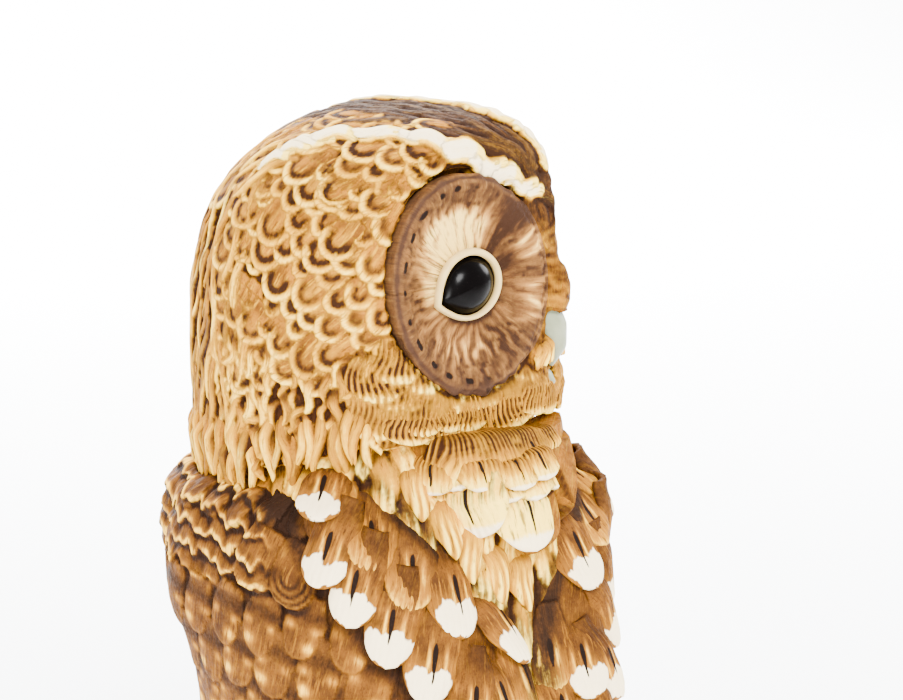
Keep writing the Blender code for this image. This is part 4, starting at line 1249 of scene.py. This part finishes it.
def paint_bars(casting, turn, level):
    """Ragged cream bars across the shoulder, each the lip of a row of feathers, with a painted shadow under it."""
    zone = ramp(turn, 62, 74) * ramp(level, 126, 129)
    wander = value_noise(casting.points, 4.0, 12)
    zigzag = np.abs((turn / 5.5 + 1.5 * wander) % 2 - 1) + 0.5 * np.abs((turn / 2.1) % 2 - 1)
    place = (level - 0.11 * (turn - 90) + 1.9 * zigzag + 1.6 * wander) / 4.3
    step = place % 1
    strength = zone * (0.5 + 0.5 * ramp(wander, 0.25, 0.5))
    cream = ridge(step, 0.2, 0.13) * strength
    # Painted shadow just under each bar, where the row of feathers steps down.
    shadow = ramp(0.12 - step, 0, 0.06) + 0.7 * ridge(step, 0.95, 0.1)
    casting.height += zone * 0.9 * (1 - ramp(step, 0.05, 0.9)) * ramp(step, 0.0, 0.06)
    keep = 1 - 0.9 * zone
    casting.marks["pale"] = casting.marks["pale"] * keep + cream
    casting.marks["white"] = casting.marks["white"] * keep + 0.25 * cream
    casting.marks["deep"] = casting.marks["deep"] * keep + zone * 0.25 * (1 - cream) + 0.7 * shadow * zone


def furrow_rear(turn, level):
    """How far each point lies behind the coverts' rear edge, in mm round the body."""
    edge = np.interp(level, (92, 103.5, 114, 121.5, 129, 136, 143, 150), (9, 19, 29, 37, 44.5, 52, 60, 62))
    return (turn - edge) * 0.7 - 3


def wing_row(wing, side, kind, height, first, last, step, lean, scale, rise, rng):
    """One row of feathers across the wing, each a little out of line."""
    offset = rng.uniform(0, step)
    thetas = np.arange(first + offset, last, step)
    heights = height + rng.normal(0, 0.8, len(thetas)) - 0.03 * (thetas - first)
    for theta, level in zip(thetas, heights):
        body_row(wing, kind, [theta * side], [level], lean, scale * rng.uniform(0.92, 1.08), rise)


def carve_mantle():
    """Scaled feathers over the back, barred in cream near the wings."""
    mantle = Casting("back_mantle", 0.5, relax=12)
    mantle.marks["deep"][:] = 0.5
    mantle.marks["dusk"][:] = 0.4
    for k in range(9):
        height = 103 + 5.0 * k
        thetas = np.arange(110 + 7 * (k % 2), 252, 14.0)
        for theta in thetas:
            kind = BARRED if abs(theta - 180) > 42 and height > 116 else MANTLE
            body_row(mantle, kind, [theta], [height], downward(0.0), 1.0, 0.1 * k / 9)
    turn, level = np.abs(body_angles(mantle.points)), mantle.points[:, 2]
    paint_bars(mantle, turn, level - 40 * ramp(turn, 128, 140))
    mantle.finish(brown_plumage(), "brown_bisque", sink=0.5)


def carve_tail():
    tail = Casting("tail", 0.5, relax=8)
    tail.marks["deep"][:] = 0.55
    for facing_y in (1, -1):
        for middle, size, raised in ((44, 1.35, 0.0), (80, 0.8, 0.5)):
            for k, share in enumerate((-0.85, -0.5, 0.5, 0.85, -0.17, 0.17)):
                place = tail.hit((15 * share, 60 * facing_y, middle + 3 * abs(share)), (0, -facing_y, 0))
                if place is not None:
                    tail.feather(*place, (0.12 * share, 0, -1), QUILL, size, 0.97 / size, raised + 0.12 * k)
    tail.finish(brown_plumage(), "brown_bisque")


def carve_foot(side_name):
    """Short feather tufts over the foot and toes, and bare dark talons."""
    foot = Casting(side_name + "_foot", 0.3, relax=3)
    low, high = foot.points.min(axis=0), foot.points.max(axis=0)
    reach = np.hypot(foot.points[:, 0] - (low[0] + high[0]) / 2, foot.points[:, 1] - (high[1] - 4.2))
    talon = ramp(reach, 10.4, 11.4)
    zone = reach < 10.5
    for index in foot.scatter(zone, 2.4, 41):
        foot.feather(foot.points[index], foot.facing[index], (0, -1, -0.4), LANCE, 0.4)
    foot.height *= 1 - talon
    foot.marks["black"] = talon
    foot.marks["white"] *= 0
    foot.finish(gold_plumage(), "cream_bisque")


# ---- the stump ----


def bark_bisque():
    return stained("stained_bisque_bark", BARK_STAINS)


def carve_stump():
    stump = Casting("stump_base", 0.7, relax=4)
    flat = stump.points - np.array(BODY_AXIS)
    turn = np.arctan2(flat[:, 0], flat[:, 1] + 6)
    level = stump.points[:, 2]
    radius = np.hypot(flat[:, 0], flat[:, 1] + 6)
    side = (np.hypot(stump.facing[:, 0], stump.facing[:, 1]) > 0.6) & (radius > 28)
    top = (stump.facing[:, 2] > 0.8) & (level > 38)
    stretched = np.column_stack((np.sin(turn) * 34, np.cos(turn) * 34, level * 0.22))
    coarse = value_noise(stretched, 4.5, 2)
    fine = value_noise(stretched, 1.8, 6)
    furrow = 1 - np.abs(2 * coarse - 1)
    plates = ramp(furrow, 0.55, 0.95)
    foot = ramp(level, 0.4, 3.0)
    stump.height += side * foot * (0.9 * coarse - 1.5 * plates + 0.5 * fine)
    rings = 0.5 + 0.5 * np.sin(radius * WAVE / 2.4 + 2 * value_noise(stump.points, 9, 3))
    stump.height += top * 0.12 * rings
    stump.marks["deep"] = np.clip(side * (1.1 * plates + 0.25 * (fine < 0.4)) + top * 0.35 * (1 - rings) + 0.15, 0, 1)
    stump.marks["pale"] = np.clip(side * 0.7 * ramp(coarse + fine, 1.15, 1.5) + top * 0.55 * rings, 0, 1)
    stump.marks["dusk"] = value_noise(stump.points, 12, 8)
    stump.barb = np.column_stack((turn * 30, level * 0.15, np.zeros(len(level))))
    stump.finish(bark_bisque(), "bark_bisque", hollows=0.7)


# ---- settings ----


def stain(name, description, hex_colour):
    """A colour that the user may change."""
    return FloatVectorProperty(
        name=name, description=description, subtype="COLOR", min=0, max=1, default=linear(hex_colour)[:3]
    )


class OwlFinishSettings(PropertyGroup):
    """The figurine's relief, eyes, glazes and strokes."""

    relief: FloatProperty(name="Relief", description="Height of the carving, 1 as designed", default=1.0, min=0)
    eye_width: FloatProperty(
        name="Eye width", description="Width of the eye's opening", default=11.9 * MM, unit="LENGTH"
    )
    eye_height: FloatProperty(
        name="Eye height", description="Height of the eye's opening", default=10.7 * MM, unit="LENGTH"
    )
    eye_black: stain("Eyes", "Glaze of the eyeballs", "#030202")
    lid_cream: stain("Lids", "Glaze of the eyelids", "#D8BC78")
    lid_shade: stain("Lid shade", "Glaze of the eyelids where it pooled", "#B08E50")
    beak_horn: stain("Beak", "Glaze of the beak", "#8D9076")
    beak_shade: stain("Beak shade", "Glaze of the beak where it pooled", "#6E7258")
    tip_white: stain("White tips", "Stain on the feathers' white tips", "#F8E2B4")
    stroke_black: stain("Black strokes", "Stain of the shaft strokes", "#170F0B")


class OwlStageSettings(PropertyGroup):
    """The studio round the figurine."""

    backdrop: FloatVectorProperty(
        name="Backdrop", description="Colour of the floor and backdrop", subtype="COLOR", default=(0.93, 0.94, 0.95)
    )
    key_power: FloatProperty(name="Key light", description="Power of the main softbox, watts", default=40.0)
    fill_power: FloatProperty(name="Fill light", description="Power of the fill softbox, watts", default=17.0)
    side_power: FloatProperty(name="Side light", description="Power of the softbox at the left, watts", default=18.0)
    backdrop_power: FloatProperty(name="Backdrop light", description="Power on the backdrop, watts", default=800.0)
    world_strength: FloatProperty(name="Surroundings", description="Brightness of the white room", default=1.5)
    camera_distance: FloatProperty(
        name="Camera distance", description="From the head's centre", default=0.425, unit="LENGTH"
    )
    camera_azimuth: FloatProperty(
        name="Camera azimuth", description="Angle round the figurine", default=math.radians(-38), subtype="ANGLE"
    )
    camera_height: FloatProperty(
        name="Camera elevation", description="Angle above the horizon", default=math.radians(12), subtype="ANGLE"
    )


# ---- operators ----


class PieceOperator:
    """What the operators share: each makes its pieces in one step."""

    bl_options = {"REGISTER", "UNDO"}


class OWL_OT_head(PieceOperator, Operator):
    """Carve the head: scallops at the side, strands down the nape, the crown and the brow stripes"""

    bl_idname = "owl.head"
    bl_label = "Head"

    def execute(self, context):
        carve_head()
        return {"FINISHED"}


class OWL_OT_discs(PieceOperator, Operator):
    """Carve both facial discs, with their lumpy rims and streaks that run out from the eye"""

    bl_idname = "owl.discs"
    bl_label = "Facial Discs"

    def execute(self, context):
        for side_name in SIDES:
            carve_disc(side_name)
        return {"FINISHED"}


class OWL_OT_eyes(PieceOperator, Operator):
    """Make both glossy black eyes and their cream lids"""

    bl_idname = "owl.eyes"
    bl_label = "Eyes and Lids"

    def execute(self, context):
        chosen = finishes()
        black = glazed_porcelain("black_gloss_glaze", chosen.eye_black, 0.15, shine=0.045)
        cream = glazed_porcelain("cream_gloss_glaze", chosen.lid_cream, 0.25, chosen.lid_shade, shine=0.15)
        for side_name in SIDES:
            eye = make_eye(side_name)
            eye.data.materials.append(black)
            hand_over(eye, "black_glaze", side_name + "_eye")
            lid = make_eyelid(side_name)
            lid.data.materials.append(cream)
            hand_over(lid, "ivory_glaze", side_name + "_eyelid")
        return {"FINISHED"}


class OWL_OT_beak(PieceOperator, Operator):
    """Smooth and glaze both halves of the beak"""

    bl_idname = "owl.beak"
    bl_label = "Beak"

    def execute(self, context):
        chosen = finishes()
        horn = glazed_porcelain("grey_green_gloss_glaze", chosen.beak_horn, 0.25, chosen.beak_shade, shine=0.15)
        for node in ("upper_beak", "lower_beak"):
            carve_beak(node).finish(horn, "ivory_glaze")
        return {"FINISHED"}


class OWL_OT_body(PieceOperator, Operator):
    """Carve the trunk and the bib of fans under the chin"""

    bl_idname = "owl.body"
    bl_label = "Trunk and Bib"

    def execute(self, context):
        carve_trunk()
        carve_bib()
        return {"FINISHED"}


class OWL_OT_wings(PieceOperator, Operator):
    """Carve both wings and the shoulder coverts over them"""

    bl_idname = "owl.wings"
    bl_label = "Wings and Coverts"

    def execute(self, context):
        for side_name in SIDES:
            carve_wing(side_name)
            carve_coverts(side_name)
        return {"FINISHED"}


class OWL_OT_back(PieceOperator, Operator):
    """Carve the mantle over the back, and the tail"""

    bl_idname = "owl.back"
    bl_label = "Mantle and Tail"

    def execute(self, context):
        carve_mantle()
        carve_tail()
        return {"FINISHED"}


class OWL_OT_feet(PieceOperator, Operator):
    """Carve both feathered feet, with their talons"""

    bl_idname = "owl.feet"
    bl_label = "Feet"

    def execute(self, context):
        for side_name in SIDES:
            carve_foot(side_name)
        return {"FINISHED"}


class OWL_OT_stump(PieceOperator, Operator):
    """Carve the bark and the sawn top of the stump"""

    bl_idname = "owl.stump"
    bl_label = "Stump"

    def execute(self, context):
        carve_stump()
        return {"FINISHED"}


def area_light(name, place, target, size, power, colour=(1, 1, 1)):
    light = bpy.data.lights.new(name, "AREA")
    light.shape = "DISK"
    light.size = size
    light.energy = power
    light.color = colour
    lamp = bpy.data.objects.new(name, light)
    lamp.location = place
    lamp.rotation_euler = (Vector(target) - Vector(place)).to_track_quat("-Z", "Y").to_euler()
    bpy.context.scene.collection.objects.link(lamp)


class OWL_OT_stage(PieceOperator, Operator):
    """Set the floor, the lights and the camera"""

    bl_idname = "owl.stage"
    bl_label = "Studio"

    def execute(self, context):
        settings = context.scene.owl_stage
        self.backdrop(settings)
        aim = HEAD_CENTRE * MM
        area_light("key_softbox", (-0.35, -0.85, 0.85), aim, 0.42, settings.key_power)
        area_light("fill_softbox", (-1.0, -0.7, 0.4), aim, 0.4, settings.fill_power)
        area_light("side_softbox", (0.95, -0.15, 0.6), aim, 0.5, settings.side_power)
        area_light("backdrop_light", (0.6, 0.9, 1.9), (1.6, 2.4, 0.4), 0.8, settings.backdrop_power)
        world = bpy.data.worlds.new("white_room")
        world.use_nodes = True
        back = world.node_tree.nodes["Background"]
        back.inputs["Color"].default_value = (1, 1, 1, 1)
        back.inputs["Strength"].default_value = settings.world_strength
        context.scene.world = world
        self.camera(context, settings)
        return {"FINISHED"}

    def backdrop(self, settings):
        """A floor that curves up behind into a backdrop."""
        bm = bmesh.new()
        rows = []
        for k in range(25):
            if k < 8:
                y, z = -3.0 + 4.2 * k / 7, 0.0
            else:
                turn = math.radians(90 * (k - 8) / 16)
                y, z = 1.2 + 1.2 * math.sin(turn), 1.2 * (1 - math.cos(turn))
            rows.append([bm.verts.new((x, y, z)) for x in (-4, 4)])
        rows.append([bm.verts.new((x, 2.4, 5)) for x in (-4, 4)])
        for below, above in zip(rows, rows[1:]):
            bm.faces.new((below[0], below[1], above[1], above[0]))
        mesh = bpy.data.meshes.new("backdrop")
        bm.to_mesh(mesh)
        bm.free()
        mesh.shade_smooth()
        floor = bpy.data.objects.new("backdrop", mesh)
        bpy.context.scene.collection.objects.link(floor)
        # Seamless studio paper: matt and even, so that the eye sees only the soft shadow on it.
        made, _, shader = new_material("backdrop_paper")
        shader.inputs["Base Color"].default_value = (*settings.backdrop, 1)
        shader.inputs["Roughness"].default_value = 0.9
        mesh.materials.append(made)

    def camera(self, context, settings):
        """Looks at the head from the owl's front right, with the head left of the middle."""
        turn, lift = settings.camera_azimuth, settings.camera_height
        back = Vector((math.sin(turn) * math.cos(lift), -math.cos(turn) * math.cos(lift), math.sin(lift)))
        aside = Vector((0, 0, 1)).cross(back).normalized()
        above = back.cross(aside)
        lens = bpy.data.cameras.new("camera")
        lens.lens = LENS_MM
        lens.sensor_width = SENSOR_MM
        lens.clip_start = 0.01
        per_metre = settings.camera_distance * SENSOR_MM / LENS_MM
        place = HEAD_CENTRE * MM + back * settings.camera_distance
        place += aside * per_metre * HEAD_LEFT_OF_MIDDLE - above * per_metre * HEAD_OVER_MIDDLE
        eye = bpy.data.objects.new("camera", lens)
        eye.matrix_world = Matrix.Translation(place) @ Matrix((aside, above, back)).transposed().to_4x4()
        context.scene.collection.objects.link(eye)
        context.scene.camera = eye


LENS_MM, SENSOR_MM = 85, 36
# How far the head's centre stands left of the view's middle and over it, as shares of the view's width.
HEAD_LEFT_OF_MIDDLE = 0.077
HEAD_OVER_MIDDLE = 0.0731


class OWL_PT_panel(Panel):
    """Lists the figurine's pieces and its settings"""

    bl_idname = "OWL_PT_panel"
    bl_label = "Bisque Owl"
    bl_space_type = "VIEW_3D"
    bl_region_type = "UI"
    bl_category = "Owl"

    def draw(self, context):
        column = self.layout.column()
        for operator in OPERATORS:
            column.operator(operator.bl_idname)
        for settings in (context.scene.owl_finishes, context.scene.owl_stage):
            for name in settings.__annotations__:
                column.prop(settings, name)


OPERATORS = (
    OWL_OT_head,
    OWL_OT_discs,
    OWL_OT_eyes,
    OWL_OT_beak,
    OWL_OT_body,
    OWL_OT_wings,
    OWL_OT_back,
    OWL_OT_feet,
    OWL_OT_stump,
    OWL_OT_stage,
)
CLASSES = (OwlFinishSettings, OwlStageSettings, *OPERATORS, OWL_PT_panel)


def register():
    for cls in CLASSES:
        bpy.utils.register_class(cls)
    bpy.types.Scene.owl_finishes = PointerProperty(type=OwlFinishSettings)
    bpy.types.Scene.owl_stage = PointerProperty(type=OwlStageSettings)


def unregister():
    del bpy.types.Scene.owl_stage
    del bpy.types.Scene.owl_finishes
    for cls in reversed(CLASSES):
        bpy.utils.unregister_class(cls)


def main():
    register()
    for operator in OPERATORS:
        group, name = operator.bl_idname.split(".")
        getattr(getattr(bpy.ops, group), name)()


if __name__ == "__main__":
    main()
